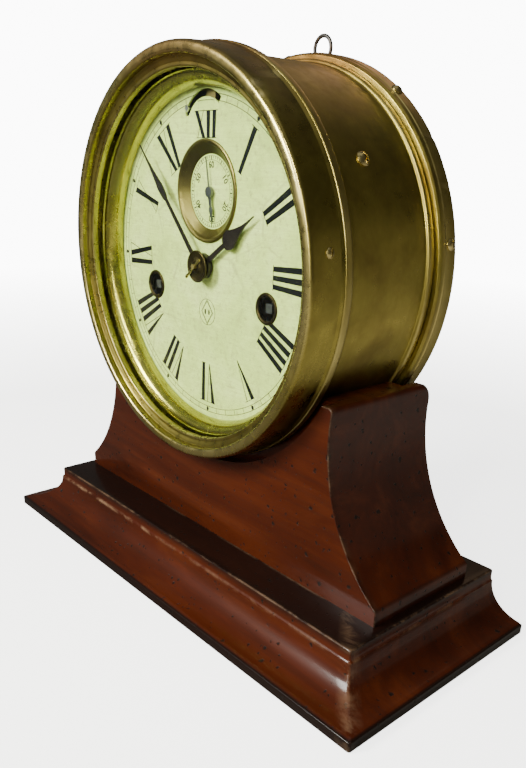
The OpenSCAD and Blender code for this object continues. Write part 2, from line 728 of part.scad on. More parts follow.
module cheese_screw(y, dir, len) {
  y1 = y + dir * len;
  rod(2.8, min(y, y - dir * 1.3), max(y, y - dir * 1.3));
  rod(1.5, min(y - dir * 0.1, y1), max(y - dir * 0.1, y1));
}
module movement_screws() {
  color(steel) {
    for (p = pillar_places) at(p) {
      cheese_screw(front_plate_y, 1, 8);
      cheese_screw(back_plate_y + plate_t, -1, 8);
    }
    ring_screw_places() cheese_screw(front_plate_y, 1, 5.5);
  }
}

// ---- Winding and great wheels, shared by both trains ----

module spring_barrel(first) {
  difference() {
    union() {
      slab(great_y, great_wheel_t) gear_outline(great_t, great_m, first, wheel_shape);
      rod(spring_r, great_y + 0.1, drum_y + drum_len);
    }
    rod(spring_r - 1, drum_y + 0.6, drum_y + drum_len + 1);
    rod(winding_r + clear, great_y - 1, drum_y + 2);
  }
}
module spring_coil() {
  slab(drum_y + 1, drum_len - 2) spiral(6, spring_r - 1.6, 6, 0.7, 24);
}
module winding_arbor() {
  square_rod(square, square_y, front_plate_y - 0.5);
  rod(winding_r, front_plate_y - 0.6, drum_y + drum_len - 1);
  rod(5.2, drum_y + 1, drum_y + drum_len - 1);
  rod(2, drum_y + drum_len - 1.1, back_plate_y + plate_t - 0.2);
  // Ratchet wheel, cut to turn clockwise past the click
  slab(front_plate_y - 2.2, 1.6) polygon([for (i = [0 : 19],
    q = [polar(ratchet_r, i * 18), polar(ratchet_r - 1.6, i * 18 + 1)]) q]);
}
// Each click's arm lies along a tangent just outside the ratchet's teeth
click_from = [5.5, 15.5];
click_w = 1.8;
click_heading = heading(click_from, centre) + asin((ratchet_r + 0.35 + click_w / 2) / norm(click_from));
function click_at(g) = g + click_from;
module click(g) {
  at(click_at(g)) difference() {
    union() {
      slab(front_plate_y - 2.2, 1.6) {
        circle(r = 2.6);
        rotate(click_heading) translate([0, -click_w / 2]) square([12, click_w]);
      }
      rod(1.8, front_plate_y - 3, front_plate_y - 2.1);
    }
    rod(click_stud_r + clear, front_plate_y - 4, front_plate_y);
  }
}

// ---- Time train ----

module time_barrel() { color(brass) at(g_time) spring_barrel(heading(g_time, intermediate)); }
module time_mainspring() { color(steel) at(g_time) spring_coil(); }
module time_arbor() { color(steel) at(g_time) winding_arbor(); }
module time_click() { color(steel) click(g_time); }
module intermediate_wheel() {
  color(brass) at(intermediate) {
    arbor(arbor_r);
    pinion(pinion_t, great_m, heading(intermediate, g_time), great_y - 0.4, 3.2);
    slab(inter_y, wheel_t) wheel_outline(inter_t, inter_m, heading(intermediate, centre), 5, 4);
  }
}
module centre_wheel() {
  color(brass) difference() {
    at(centre) {
      rod(arbor_r, minute_hand_y - 3.2, back_plate_y - 0.3);
      rod(pivot_r, back_plate_y - 0.4, back_plate_y + plate_t - 0.2);
      pinion(pinion_t, inter_m, heading(centre, intermediate), inter_y - 0.5, 2.4);
      slab(centre_y, wheel_t) wheel_outline(centre_t, centre_m, heading(centre, third), 5, 4);
    }
    across_arbor(-3) cylinder(r = 0.65, h = 6, $fn = 32);
  }
}
module cannon_pinion() {
  color(steel) at(centre) difference() {
    union() {
      pinion(cannon_t, minute_m, heading(centre, minute), minute_y - 0.6, 2.6);
      rod(2.25, minute_hand_y + minute_hand_t + 0.05, minute_y);
      square_rod(hand_square, minute_hand_y, minute_hand_y + minute_hand_t + 0.15);
    }
    rod(arbor_r + 0.02, minute_hand_y - 1, -6);
  }
}
module minute_wheel() {
  color(brass) at(minute) difference() {
    union() {
      slab(minute_y, wheel_t) gear_outline(minute_t, minute_m, heading(minute, centre), wheel_shape);
      pinion(minute_pinion_t, hour_m, heading(minute, centre), hour_y - 0.4, 2.4);
      rod(2.1, hour_y, minute_y + 1);
    }
    rod(minute_stud_r + clear, hour_y - 3, front_plate_y);
  }
}
module hour_wheel() {
  color(brass) at(centre) difference() {
    union() {
      slab(hour_y, wheel_t) gear_outline(hour_t, hour_m, heading(centre, minute), wheel_shape);
      rod(3.2, hand_y - 0.6, hour_y + 1.4);
      rod(5, hour_y, hour_y + 2.4);
    }
    rod(2.3, -30, -6);
  }
}
module third_wheel() {
  color(brass) at(third) {
    arbor(arbor_r);
    pinion(pinion_t, centre_m, heading(third, centre), centre_y - 0.6, 2.6);
    slab(third_y, wheel_t) wheel_outline(third_t, third_m, heading(third, fourth), 4, 4);
  }
}
module fourth_wheel() {
  color(brass) at(fourth) {
    rod(arbor_r, inner_y + 0.3, back_plate_y - 0.3);
    rod(pivot_r, seconds_hand_y, back_plate_y + plate_t - 0.2);
    pinion(pinion_t, third_m, heading(fourth, third), third_y - 0.6, 2.6);
    slab(fourth_y, wheel_t) wheel_outline(fourth_t, fourth_m, heading(fourth, escape), 3.4, 4);
  }
}
escape_r = 8;
module escape_wheel() {
  color(brass) at(escape) {
    rod(arbor_r, lever_y - 0.8, back_plate_y - 0.3);
    rod(pivot_r, back_plate_y - 0.4, back_plate_y + plate_t - 0.2);
    pinion(pinion_t, fourth_m, heading(escape, fourth), fourth_y - 0.6, 2.6);
    slab(lever_y, 1) difference() {
      polygon([for (i = [0 : escape_t - 1], q = [polar(escape_r, -i * 24), polar(escape_r, -i * 24 - 2.5),
        polar(escape_r - 2.6, -i * 24 - 5), polar(escape_r - 2.6, -i * 24 - 20)]) q]);
      for (i = [0 : 2]) rotate(i * 120) translate([3.4, 0]) circle(r = 1.1, $fn = 24);
    }
  }
}
lever_pivot = escape + polar(11.6, heading(escape, balance));
lever_to_balance = norm(balance - lever_pivot);
module pallet_lever() {
  color(steel) at(lever_pivot) difference() {
    union() {
      slab(lever_y, 1) rotate(heading(escape, balance)) {
        circle(r = 1.8);
        translate([0, -0.6]) square([lever_to_balance - 3.4, 1.2]);
        translate([lever_to_balance - 4.6, -1.5]) square([1.2, 3]);
        for (s = [-1, 1]) polygon([[-0.6, 0], [0.6, 0], [-0.9, s * 7], [-2.4, s * 7]]);
      }
      rod(1.4, lever_y - 0.6, lever_y + 1.6);
    }
    rod(lever_stud_r + clear, lever_y - 2, front_plate_y);
  }
}
balance_r = 12.8;
balance_pivot_r = 0.5;
module balance_wheel() {
  color(brass) at(balance) {
    rod(0.9, cock_y + cock_t + 0.2, lever_y + 1.8);
    rod(balance_pivot_r, cock_y + 0.2, front_plate_y + plate_t - 0.2);
    slab(lever_y - 0.2, 1) circle(r = 2.2);
    slab(balance_y, 1.5) difference() {
      circle(r = balance_r);
      difference() {
        circle(r = balance_r - 2);
        circle(r = 2.6);
        translate([-0.9, -balance_r]) square([1.8, 2 * balance_r]);
      }
    }
  }
}
module hairspring() {
  color(steel) at(balance) slab(hairspring_y, 0.9) spiral(1.2, 6.4, 6, 0.3, 24);
}
module balance_cock() {
  color(brass) at(balance) difference() {
    union() {
      slab(cock_y, cock_t) {
        circle(r = 4);
        translate([-3.2, 0]) square([6.4, 20]);
      }
      rod(2, cock_y - 1.3, cock_y + 0.1);
      translate([0, 0, 18]) rod(3.4, cock_y, front_plate_y);
    }
    rod(balance_pivot_r + clear, cock_y - 0.3, cock_y + 2);
  }
}

// ---- Strike train ----

module strike_barrel() {
  color(brass) at(g_strike) spring_barrel(heading(g_strike, strike_second));
}
module strike_mainspring() { color(steel) at(g_strike) spring_coil(); }
module strike_arbor() { color(steel) at(g_strike) winding_arbor(); }
module strike_click() { color(steel) click(g_strike); }
module strike_second_wheel() {
  color(brass) at(strike_second) {
    arbor(arbor_r);
    pinion(pinion_t, great_m, heading(strike_second, g_strike), great_y - 0.4, 3.2);
    slab(second_y, wheel_t)
      wheel_outline(second_t, second_m, heading(strike_second, pin_arbor), 4, 4);
  }
}
// Eight pins near the rim lift the hammer
pin_circle_r = 10.3;
module pin_wheel() {
  color(brass) at(pin_arbor) {
    arbor(arbor_r);
    pinion(pinion_t, second_m, heading(pin_arbor, strike_second), second_y - 0.5, 2.4);
    slab(pin_y, wheel_t) wheel_outline(pin_t, pin_m, heading(pin_arbor, fly_arbor), 3.4, 4);
    for (i = [0 : 7]) translate([pin_circle_r * cos(45 * i + 10), 0, pin_circle_r * sin(45 * i + 10)])
      rod(0.6, pin_y + wheel_t - 0.1, pin_y + wheel_t + 1.6);
  }
}
module fly() {
  color(brass) at(fly_arbor) {
    arbor(arbor_r);
    pinion(pinion_t, pin_m, heading(fly_arbor, pin_arbor), pin_y - 0.6, 2.6);
    translate([-7, inner_y + 2, -0.4]) cube([14, 7, 0.8]);
  }
}
hammer_len = 67.2;
hammer_dir = heading(hammer_arbor, bell_at) + asin((bell_r + 4.5) / norm(bell_at - hammer_arbor));
module hammer() {
  color(steel) at(hammer_arbor) {
    rod(1.5, inner_y + 0.3, 34);
    rod(pivot_r, front_plate_y + 0.2, inner_y + 0.4);
    translate([0, 31, 0]) rotate([0, -hammer_dir, 0]) {
      translate([0, -1.1, -1.1]) cube([hammer_len, 2.2, 2.2]);
      translate([hammer_len, 0, -3.6]) cylinder(r = 4, h = 7.2);
    }
  }
}
module bell() {
  n = 8;
  rim = 27;
  crown = 17;
  top = rim + crown;
  function dome(r, h, i) = [r * cos(80 * i / n), rim + h * sin(80 * i / n)];
  color(steel) at(bell_at) {
    turned(concat([for (i = [0 : n]) dome(bell_r, crown, i)],
      [for (i = [n : -1 : 0]) dome(bell_r - 1.8, crown - 1.8, i)]));
    turned([[0, top - 2], [8, top - 2], [8, top], [0, top]]);
    rod(2.4, back_plate_y + plate_t, top + 2.4);
    rod(4.5, back_plate_y + plate_t, back_plate_y + plate_t + 2);
  }
}

plinth();
saddle();
base_screws();
drum_bolts();
case_barrel();
rear_flange();
back_cover();
flange_screws();
barrel_screws();
mounting_ring();
ring_staple();
hanging_ring();
bezel();
glass();
reflector_ring();
bezel_hinge_leaf();
case_hinge_leaf();
hinge_pin();
bezel_catch();
catch_screw();
dial();
dial_feet();
seconds_dial();
seconds_ring();
winding_eyelets();
hour_hand();
minute_hand();
seconds_hand();
hand_washer();
taper_pin();
regulator_lever();
front_plate();
movement_back_plate();
pillars();
movement_screws();
time_barrel();
time_mainspring();
time_arbor();
time_click();
intermediate_wheel();
centre_wheel();
cannon_pinion();
minute_wheel();
hour_wheel();
third_wheel();
fourth_wheel();
escape_wheel();
pallet_lever();
balance_wheel();
hairspring();
balance_cock();
strike_barrel();
strike_mainspring();
strike_arbor();
strike_click();
strike_second_wheel();
pin_wheel();
fly();
hammer();
bell();
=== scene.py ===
import json
import math

import bmesh
import bpy
from mathutils import Matrix, Vector, noise


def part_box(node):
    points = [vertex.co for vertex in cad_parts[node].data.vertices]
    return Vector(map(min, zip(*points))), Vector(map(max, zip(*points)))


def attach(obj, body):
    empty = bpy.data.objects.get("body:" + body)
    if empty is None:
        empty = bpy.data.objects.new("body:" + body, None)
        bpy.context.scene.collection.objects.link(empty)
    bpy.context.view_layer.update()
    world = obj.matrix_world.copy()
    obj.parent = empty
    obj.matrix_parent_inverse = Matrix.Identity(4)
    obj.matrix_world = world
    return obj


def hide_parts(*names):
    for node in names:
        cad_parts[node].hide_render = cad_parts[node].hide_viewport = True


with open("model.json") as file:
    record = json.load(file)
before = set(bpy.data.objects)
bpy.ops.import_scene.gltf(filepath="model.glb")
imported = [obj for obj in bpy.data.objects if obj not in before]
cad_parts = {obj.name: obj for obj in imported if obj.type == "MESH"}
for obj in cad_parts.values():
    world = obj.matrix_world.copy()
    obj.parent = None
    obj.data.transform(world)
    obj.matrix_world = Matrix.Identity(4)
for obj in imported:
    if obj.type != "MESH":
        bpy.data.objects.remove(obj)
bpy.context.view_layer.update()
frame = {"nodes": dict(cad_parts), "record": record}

# Meshes are drawn in millimetres, then scaled to the frame's metres. The drum lies along Y.
MM = 0.001
AXIS_Z = 172.0  # height of the drum's axis
DRUM_R = 92  # rough outer radius of the drum


# ---- Node material helpers ----

class Shader:
    """A Principled material and short ways to add the nodes that drive it."""

    def __init__(self, name):
        self.mat = bpy.data.materials.new(name)
        self.mat.use_nodes = True
        self.nt = self.mat.node_tree
        self.nt.nodes.clear()
        self.out = self.nt.nodes.new("ShaderNodeOutputMaterial")
        self.bsdf = self.nt.nodes.new("ShaderNodeBsdfPrincipled")
        self.nt.links.new(self.bsdf.outputs[0], self.out.inputs[0])
        self.coord = self.nt.nodes.new("ShaderNodeTexCoord").outputs["Object"]

    def node(self, kind, **settings):
        n = self.nt.nodes.new(kind)
        for k, v in settings.items():
            setattr(n, k, v)
        return n

    def put(self, socket, value):
        if isinstance(value, bpy.types.NodeSocket):
            self.nt.links.new(value, socket)
        else:
            socket.default_value = value

    def set(self, **values):
        """Sets or links inputs of the Principled shader, with _ for a space in each name."""
        for k, v in values.items():
            self.put(self.bsdf.inputs[k.replace("_", " ")], v)

    def stretch(self, scale, offset=(0, 0, 0)):
        """Object coordinates scaled by axis, so that a pattern can run long in one direction."""
        n = self.node("ShaderNodeMapping")
        self.put(n.inputs["Vector"], self.coord)
        n.inputs["Location"].default_value = offset
        n.inputs["Scale"].default_value = scale
        return n.outputs[0]

    def noise(self, scale, detail=4, rough=0.55, distort=0.0, vector=None):
        n = self.node("ShaderNodeTexNoise")
        self.put(n.inputs["Vector"], vector or self.coord)
        n.inputs["Scale"].default_value = scale
        n.inputs["Detail"].default_value = detail
        n.inputs["Roughness"].default_value = rough
        n.inputs["Distortion"].default_value = distort
        return n.outputs["Fac"]

    def cells(self, scale, vector=None, feature="F1"):
        n = self.node("ShaderNodeTexVoronoi", feature=feature)
        self.put(n.inputs["Vector"], vector or self.coord)
        n.inputs["Scale"].default_value = scale
        return n

    def ramp(self, fac, *stops):
        n = self.node("ShaderNodeValToRGB")
        self.put(n.inputs[0], fac)
        e = n.color_ramp.elements
        while len(e) < len(stops):
            e.new(0.5)
        for el, (p, c) in zip(e, stops):
            el.position = p
            el.color = c if isinstance(c, tuple) else (c, c, c, 1)
        return n.outputs[0]

    def math(self, op, a, b=0.0):
        n = self.node("ShaderNodeMath", operation=op)
        self.put(n.inputs[0], a)
        self.put(n.inputs[1], b)
        return n.outputs[0]

    def mix(self, fac, a, b):
        """Mixes two colours."""
        n = self.node("ShaderNodeMix", data_type="RGBA")
        self.put(n.inputs[0], fac)
        self.put(n.inputs[6], a)
        self.put(n.inputs[7], b)
        return n.outputs[2]

    def shaders(self, fac, a, b):
        """Mixes two shader outputs."""
        n = self.node("ShaderNodeMixShader")
        self.put(n.inputs[0], fac)
        self.put(n.inputs[1], a)
        self.put(n.inputs[2], b)
        return n.outputs[0]

    def spots(self, scale, size, share, vector=None, channel=0, core=0.5):
        """Round spots in about that share of the cells, solid out to core times their size."""
        v = self.cells(scale, vector)
        near = self.ramp(v.outputs["Distance"], (size * core, 1.0), (size, 0.0))
        pick = self.node("ShaderNodeSeparateColor")
        self.put(pick.inputs[0], v.outputs["Color"])
        return self.math("MULTIPLY", near, self.math("LESS_THAN", pick.outputs[channel], share))

    def axis(self, which):
        n = self.node("ShaderNodeSeparateXYZ")
        self.put(n.inputs[0], self.coord)
        return n.outputs[which]

    def attribute(self, name):
        return self.node("ShaderNodeAttribute", attribute_name=name).outputs["Fac"]

    def bump(self, height, strength, distance, normal=None):
        n = self.node("ShaderNodeBump")
        n.inputs["Strength"].default_value = strength
        n.inputs["Distance"].default_value = distance
        self.put(n.inputs["Height"], height)
        if normal is not None:
            self.put(n.inputs["Normal"], normal)
        return n.outputs[0]


def rgb(r, g, b):
    return (r, g, b, 1)


# Rubbed brass colour, also standing in for painted highlights
RUBBED_AND_GLINT_BRASS = rgb(0.78, 0.66, 0.28)
COPPER_TOP_TONE = rgb(0.50, 0.23, 0.07)


def brass(name, bright, olive, brown, rough=0.3, tarnish=0.5, brushed=0.06, copper_top=False):
    """Old brass: olive and brown tarnish in soft clouds, rubbed bright with painted highlights on crests and
    round dents, with fine turned lines.

    The last argument adds a coppery colour along the very top of the drum."""
    s = Shader(name)
    clouds = s.noise(22, 5, 0.6, 0.4)
    fine = s.noise(160, 6, 0.65)
    spots = s.noise(38, 4, 0.6, 0.15, s.stretch((1, 1, 1), (3.1, 1.7, 0.4)))
    lines = s.noise(90, 3, 0.6, 0, s.stretch((0.12, 16, 0.12)))
    tone = s.mix(s.ramp(clouds, (0.5 - 0.32 * tarnish, 0.0), (0.82 - 0.2 * tarnish, 1.0)), bright, olive)
    tone = s.mix(s.ramp(spots, (0.46, 0.0), (0.8, 0.8)), tone, brown)
    tone = s.mix(s.ramp(fine, (0.4, 0.0), (0.8, 0.14)), tone, brown)
    tone = s.mix(s.ramp(lines, (0.35, 0.0), (0.7, 0.16)), tone, olive)
    # Worn places are rubbed bright, and the same mask paints highlights on crests, edges and round dents
    rub_and_glint_mask = s.attribute("rub_and_glint")
    tone = s.mix(rub_and_glint_mask, tone, RUBBED_AND_GLINT_BRASS)
    # The very top band of the drum turns coppery
    if copper_top:
        above_axis = s.math("SUBTRACT", s.axis(2), AXIS_Z * MM)
        tone = s.mix(s.ramp(above_axis, (0.080, 0.0), (0.093, 0.6)), tone, COPPER_TOP_TONE)
    dullness = s.math("ADD", s.ramp(fine, (0.3, rough - 0.07), (0.7, rough + 0.1)),
                      s.ramp(clouds, (0.35, 0.0), (0.8, 0.12)))
    polish = s.math("MULTIPLY", rub_and_glint_mask, 0.08)
    s.set(Base_Color=tone, Metallic=1.0, Roughness=s.math("SUBTRACT", dullness, polish))
    turned = s.bump(lines, brushed, 0.0002)
    s.set(Normal=s.bump(fine, 0.025, 0.0002, turned))
    return s.mat


def mahogany(name):
    """Dark red mahogany under varnish: grain, ragged specks, dark edges with painted shade along the saddle's
    foot, and pale worn arrises with a painted highlight along the plinth's cove.

    The mesh gives the edges, with the painted shade, and the wear, with the painted highlight, as vertex
    attributes."""
    s = Shader(name)
    grain = s.noise(14, 6, 0.62, 1.2, s.stretch((0.35, 2.2, 2.2)))
    pores = s.noise(260, 3, 0.6, 0, s.stretch((0.05, 1, 1)))
    wide = s.noise(7, 3, 0.5, 0.3)
    wood = s.ramp(grain, (0.28, rgb(0.011, 0.0024, 0.0011)), (0.5, rgb(0.032, 0.006, 0.0018)),
                  (0.75, rgb(0.07, 0.016, 0.0046)))
    wood = s.mix(s.ramp(wide, (0.35, 0.0), (0.7, 0.5)), wood, rgb(0.07, 0.0115, 0.003))
    wood = s.mix(s.ramp(pores, (0.48, 0.0), (0.7, 0.35)), wood, rgb(0.02, 0.006, 0.003))
    # Dark edges: ebonised lip and top, dark arrises, and painted shade along the saddle's foot
    wood = s.mix(s.math("MULTIPLY", s.attribute("edge"), 0.95), wood, rgb(0.004, 0.0025, 0.002))
    ragged = s.node("ShaderNodeMix", data_type="VECTOR")
    ragged.inputs[0].default_value = 0.0025
    s.put(ragged.inputs[4], s.coord)
    jig = s.node("ShaderNodeTexNoise")
    s.put(jig.inputs["Vector"], s.coord)
    jig.inputs["Scale"].default_value = 420
    s.put(ragged.inputs[5], jig.outputs["Color"])
    specks = None
    for scale, size, share in ((110, 0.16, 0.4), (230, 0.21, 0.34), (62, 0.07, 0.34), (400, 0.22, 0.2)):
        one = s.spots(scale, size, share, ragged.outputs[1], core=0.6)
        specks = one if specks is None else s.math("MAXIMUM", specks, one)
    wood = s.mix(s.math("MULTIPLY", specks, 0.92), wood, rgb(0.006, 0.004, 0.003))
    # Pale tan from the wear mask: real worn arrises and corners, and a painted highlight along the plinth
    # cove's upper crease
    patchy = s.ramp(s.noise(85, 5, 0.7, 0.5, s.stretch((0.5, 1, 1))), (0.44, 0.0), (0.6, 0.85))
    wood = s.mix(s.math("MULTIPLY", s.attribute("wear_and_sheen"), patchy), wood, rgb(0.2, 0.12, 0.07))
    rough = s.math("ADD", s.ramp(wide, (0.3, 0.3), (0.75, 0.42)), s.math("MULTIPLY", specks, 0.3))
    s.set(Base_Color=wood, Roughness=rough, Specular_IOR_Level=0.08, Coat_Weight=0.3,
          Coat_Roughness=0.13, Coat_IOR=1.5)
    pits = s.bump(s.math("SUBTRACT", 1.0, specks), 0.5, 0.0004)
    open_grain = s.bump(pores, 0.05, 0.0002, pits)
    s.set(Normal=s.bump(wide, 0.12, 0.003, open_grain))
    return s.mat


def dial_paint(name):
    """Aged greenish-cream dial with fine level brush lines, stains, specks and hairline cracks."""
    s = Shader(name)
    brush = s.noise(75, 6, 0.75, 0, s.stretch((1.2, 1, 26)))
    cloud = s.noise(30, 6, 0.7, 0.4)
    dust = s.noise(420, 4, 0.75)
    stain = s.noise(110, 5, 0.75, 0.6)
    tone = s.ramp(cloud, (0.3, rgb(0.50, 0.63, 0.16)), (0.5, rgb(0.70, 0.86, 0.245)),
                  (0.75, rgb(0.84, 0.97, 0.37)))
    tone = s.mix(s.ramp(brush, (0.38, 0.0), (0.72, 0.55)), tone, rgb(0.44, 0.50, 0.17))
    tone = s.mix(s.ramp(stain, (0.52, 0.0), (0.72, 0.5)), tone, rgb(0.40, 0.43, 0.15))
    tone = s.mix(s.ramp(dust, (0.54, 0.0), (0.7, 0.6)), tone, rgb(0.30, 0.32, 0.13))
    for scale, size, share in ((120, 0.075, 0.35), (260, 0.11, 0.3)):
        fly_spot = s.spots(scale, size, share, channel=1)
        tone = s.mix(s.math("MULTIPLY", fly_spot, 0.75), tone, rgb(0.11, 0.11, 0.05))
    crack = s.cells(19, s.stretch((0.7, 1, 1.2), (0.3, 0, 0.1)), "DISTANCE_TO_EDGE")
    hairline = s.ramp(crack.outputs["Distance"], (0.0, 0.4), (0.014, 0.0))
    hairline = s.math("MULTIPLY", hairline, s.ramp(cloud, (0.45, 0.0), (0.6, 1.0)))
    tone = s.mix(hairline, tone, rgb(0.26, 0.26, 0.12))
    s.set(Base_Color=tone, Roughness=s.ramp(dust, (0.3, 0.42), (0.8, 0.6)), Specular_IOR_Level=0.3)
    s.set(Normal=s.bump(brush, 0.05, 0.0002))
    return s.mat


def ink(name):
    """Black dial enamel, slightly worn so that specks of the ground show through."""
    s = Shader(name)
    worn = s.noise(520, 4, 0.7)
    tone = s.mix(s.ramp(worn, (0.66, 0.0), (0.76, 0.8)), rgb(0.003, 0.004, 0.005), rgb(0.42, 0.46, 0.25))
    s.set(Base_Color=tone, Roughness=s.ramp(worn, (0.3, 0.35), (0.7, 0.5)), Specular_IOR_Level=0.2)
    s.set(Normal=s.bump(worn, 0.06, 0.0002))
    return s.mat


def steel(name, dark, light, rough, metallic=1.0, rust=None):
    """Ground steel with fine scratches; rust names a brown that gathers in patches."""
    s = Shader(name)
    fine = s.noise(300, 5, 0.6)
    streak = s.noise(180, 4, 0.65, 0, s.stretch((0.6, 6, 0.6)))
    tone = s.ramp(streak, (0.35, dark), (0.7, light))
    if rust:
        tone = s.mix(s.ramp(s.noise(90, 4, 0.6, 0.5), (0.5, 0.0), (0.7, 0.8)), tone, rust)
    s.set(Base_Color=tone, Metallic=metallic, Roughness=s.ramp(fine, (0.3, rough), (0.7, rough + 0.16)))
    s.set(Normal=s.bump(streak, 0.08, 0.0002))
    return s.mat


def clear_glass(name):
    """Flat clock glass: nearly clear, mirroring a little at a slant, with faint smears."""
    s = Shader(name)
    smear = s.noise(16, 4, 0.6, 0.6)
    clear = s.node("ShaderNodeBsdfTransparent")
    clear.inputs[0].default_value = rgb(0.965, 0.985, 0.96)
    s.set(Base_Color=rgb(0.9, 0.95, 0.92), Metallic=1.0, Specular_IOR_Level=0.5,
          Roughness=s.ramp(smear, (0.3, 0.02), (0.8, 0.09)))
    facing = s.node("ShaderNodeLayerWeight")
    facing.inputs["Blend"].default_value = 0.5
    slant = s.math("POWER", facing.outputs["Facing"], 4.0)
    share = s.math("ADD", s.math("MULTIPLY", slant, 0.45), s.ramp(smear, (0.4, 0.012), (0.9, 0.026)))
    s.put(s.out.inputs[0], s.shaders(share, clear.outputs[0], s.bsdf.outputs[0]))
    return s.mat


CASE = brass("brass_case", rgb(0.42, 0.34, 0.078), rgb(0.2, 0.165, 0.036), rgb(0.14, 0.085, 0.024),
             rough=0.3, tarnish=0.62, copper_top=True)
BEZEL = brass("brass_bezel", rgb(0.40, 0.33, 0.075), rgb(0.185, 0.155, 0.036), rgb(0.11, 0.068, 0.02),
              rough=0.25, tarnish=0.5, copper_top=True)
MIRROR = brass("brass_reflector", rgb(0.56, 0.49, 0.10), rgb(0.42, 0.38, 0.06), rgb(0.27, 0.20, 0.04),
               rough=0.16, tarnish=0.3, brushed=0.03)
TRIM = brass("brass_trim", rgb(0.22, 0.18, 0.055), rgb(0.115, 0.095, 0.03), rgb(0.055, 0.036, 0.014),
             rough=0.32, tarnish=0.5)
SCREW = brass("brass_screw", rgb(0.55, 0.46, 0.2), rgb(0.36, 0.29, 0.1), rgb(0.2, 0.13, 0.05),
              rough=0.22, tarnish=0.3)
BOSS = brass("brass_boss", rgb(0.08, 0.06, 0.022), rgb(0.034, 0.026, 0.011), rgb(0.014, 0.009, 0.006),
             rough=0.36, tarnish=0.6)
DULL = brass("brass_dull", rgb(0.36, 0.29, 0.12), rgb(0.24, 0.2, 0.08), rgb(0.16, 0.1, 0.05),
             rough=0.45, tarnish=0.6)
WORKS = brass("brass_works", rgb(0.66, 0.52, 0.22), rgb(0.55, 0.43, 0.16), rgb(0.4, 0.28, 0.1),
              rough=0.3, tarnish=0.3)
WOOD = mahogany("mahogany_varnished")
DIAL = dial_paint("dial_cream")
INK = ink("dial_ink")
BLACK = steel("steel_blackened", rgb(0.012, 0.009, 0.009), rgb(0.035, 0.026, 0.024), 0.34, 0.6)
GREY = steel("steel_grey", rgb(0.13, 0.14, 0.15), rgb(0.28, 0.29, 0.3), 0.3)
STEEL = steel("steel_bright", rgb(0.42, 0.43, 0.44), rgb(0.6, 0.6, 0.6), 0.26)
IRON = steel("iron_dark", rgb(0.03, 0.028, 0.026), rgb(0.09, 0.085, 0.08), 0.38, 0.85, rgb(0.06, 0.035, 0.02))
GLASS = clear_glass("glass_clear")


# ---- Mesh helpers, in millimetres ----

def to_object(name, bm, mat, body, nodes=(), smooth=35):
    """Turns a bmesh in millimetres into a piece in metres that rides on a body."""
    bmesh.ops.recalc_face_normals(bm, faces=bm.faces[:])
    bm.transform(Matrix.Scale(MM, 4))
    mesh = bpy.data.meshes.new(name)
    bm.to_mesh(mesh)
    bm.free()
    mesh.materials.append(mat)
    for p in mesh.polygons:
        p.use_smooth = True
    mesh.set_sharp_from_angle(angle=math.radians(smooth))
    obj = bpy.data.objects.new(name, mesh)
    bpy.context.scene.collection.objects.link(obj)
    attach(obj, body)
    if nodes:
        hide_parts(*nodes)
    return obj


def rounded(corners, steps=6):
    """A closed outline whose corners (a, b, radius) are rounded by arcs of about that radius."""
    out = []
    n = len(corners)
    for i, (a, b, r) in enumerate(corners):
        p = Vector((a, b))
        u = Vector(corners[i - 1][:2]) - p
        v = Vector(corners[(i + 1) % n][:2]) - p
        angle = u.angle(v, math.pi)
        if r <= 0 or angle > 3.1:
            out.append((a, b))
            continue
        cut = min(r / math.tan(angle / 2), 0.48 * u.length, 0.48 * v.length)
        start = p + u.normalized() * cut
        end = p + v.normalized() * cut
        for k in range(steps + 1):
            t = k / steps
            q = start.lerp(p, t).lerp(p.lerp(end, t), t)
            out.append((q.x, q.y))
    return out


def lathe(name, profile, mat, body, nodes=(), centre=(0.0, 0.0), segments=256,
          push=None, rub_and_glint=None, smooth=50):
    """Turns a closed outline of (radius, depth) about the Y axis. push moves a point outwards."""
    bm = bmesh.new()
    layer = bm.verts.layers.float.new("rub_and_glint")
    rings = []
    for k in range(segments):
        a = 2 * math.pi * k / segments
        ring = []
        for r, y in profile:
            d = push(a, r, y) if push else 0.0
            q = r + d
            v = bm.verts.new((centre[0] + q * math.sin(a), y, AXIS_Z + centre[1] + q * math.cos(a)))
            v[layer] = rub_and_glint(a, r, y) if rub_and_glint else 0.0
            ring.append(v)
        rings.append(ring)
    m = len(profile)
    for k in range(segments):
        one, two = rings[k], rings[(k + 1) % segments]
        for j in range(m):
            i = (j + 1) % m
            bm.faces.new((one[j], one[i], two[i], two[j]))
    bmesh.ops.remove_doubles(bm, verts=bm.verts[:], dist=0.0005)
    return to_object(name, bm, mat, body, nodes, smooth)


def fade(distance, reach):
    """One at no distance, falling evenly to nothing at reach."""
    return max(0.0, 1 - abs(distance) / reach)


def unit(value):
    """Keeps an attribute between nothing and one."""
    return min(1.0, max(0.0, value))


def waves(a, r, y):
    """Faint unevenness of spun metal, in millimetres."""
    p = Vector((r * math.sin(a), y * 1.5, r * math.cos(a)))
    return 0.05 * noise.noise(p * 0.05) + 0.018 * noise.noise(p * 0.2)


def dent(a, y, at_deg, at_y, width, depth):
    """The inward push of a round dent, at_deg clockwise from the drum's top."""
    d = math.hypot((a - math.radians(at_deg)) * DRUM_R / width, (y - at_y) / width)
    return -depth * math.exp(-d * d * 2)


# ---- Case ----

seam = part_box("case_barrel")[0].y / MM
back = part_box("rear_flange")[1].y / MM
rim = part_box("bezel")[0].y / MM

# Dents: degrees from the top, place along the axis, width, depth, and width of the bright rubbed ring with
# its painted highlight
BEZEL_DENTS = ((37, rim + 2, 2.4, 0.55, 2.2), (41, rim + 1.2, 1.3, 0.4, 1.2),
               (33, seam - 2.5, 2.6, 0.45, 2.2))
FLANGE_DENTS = ((52, 47.5), (55, 45.5), (60, 48), (66, 46.5))

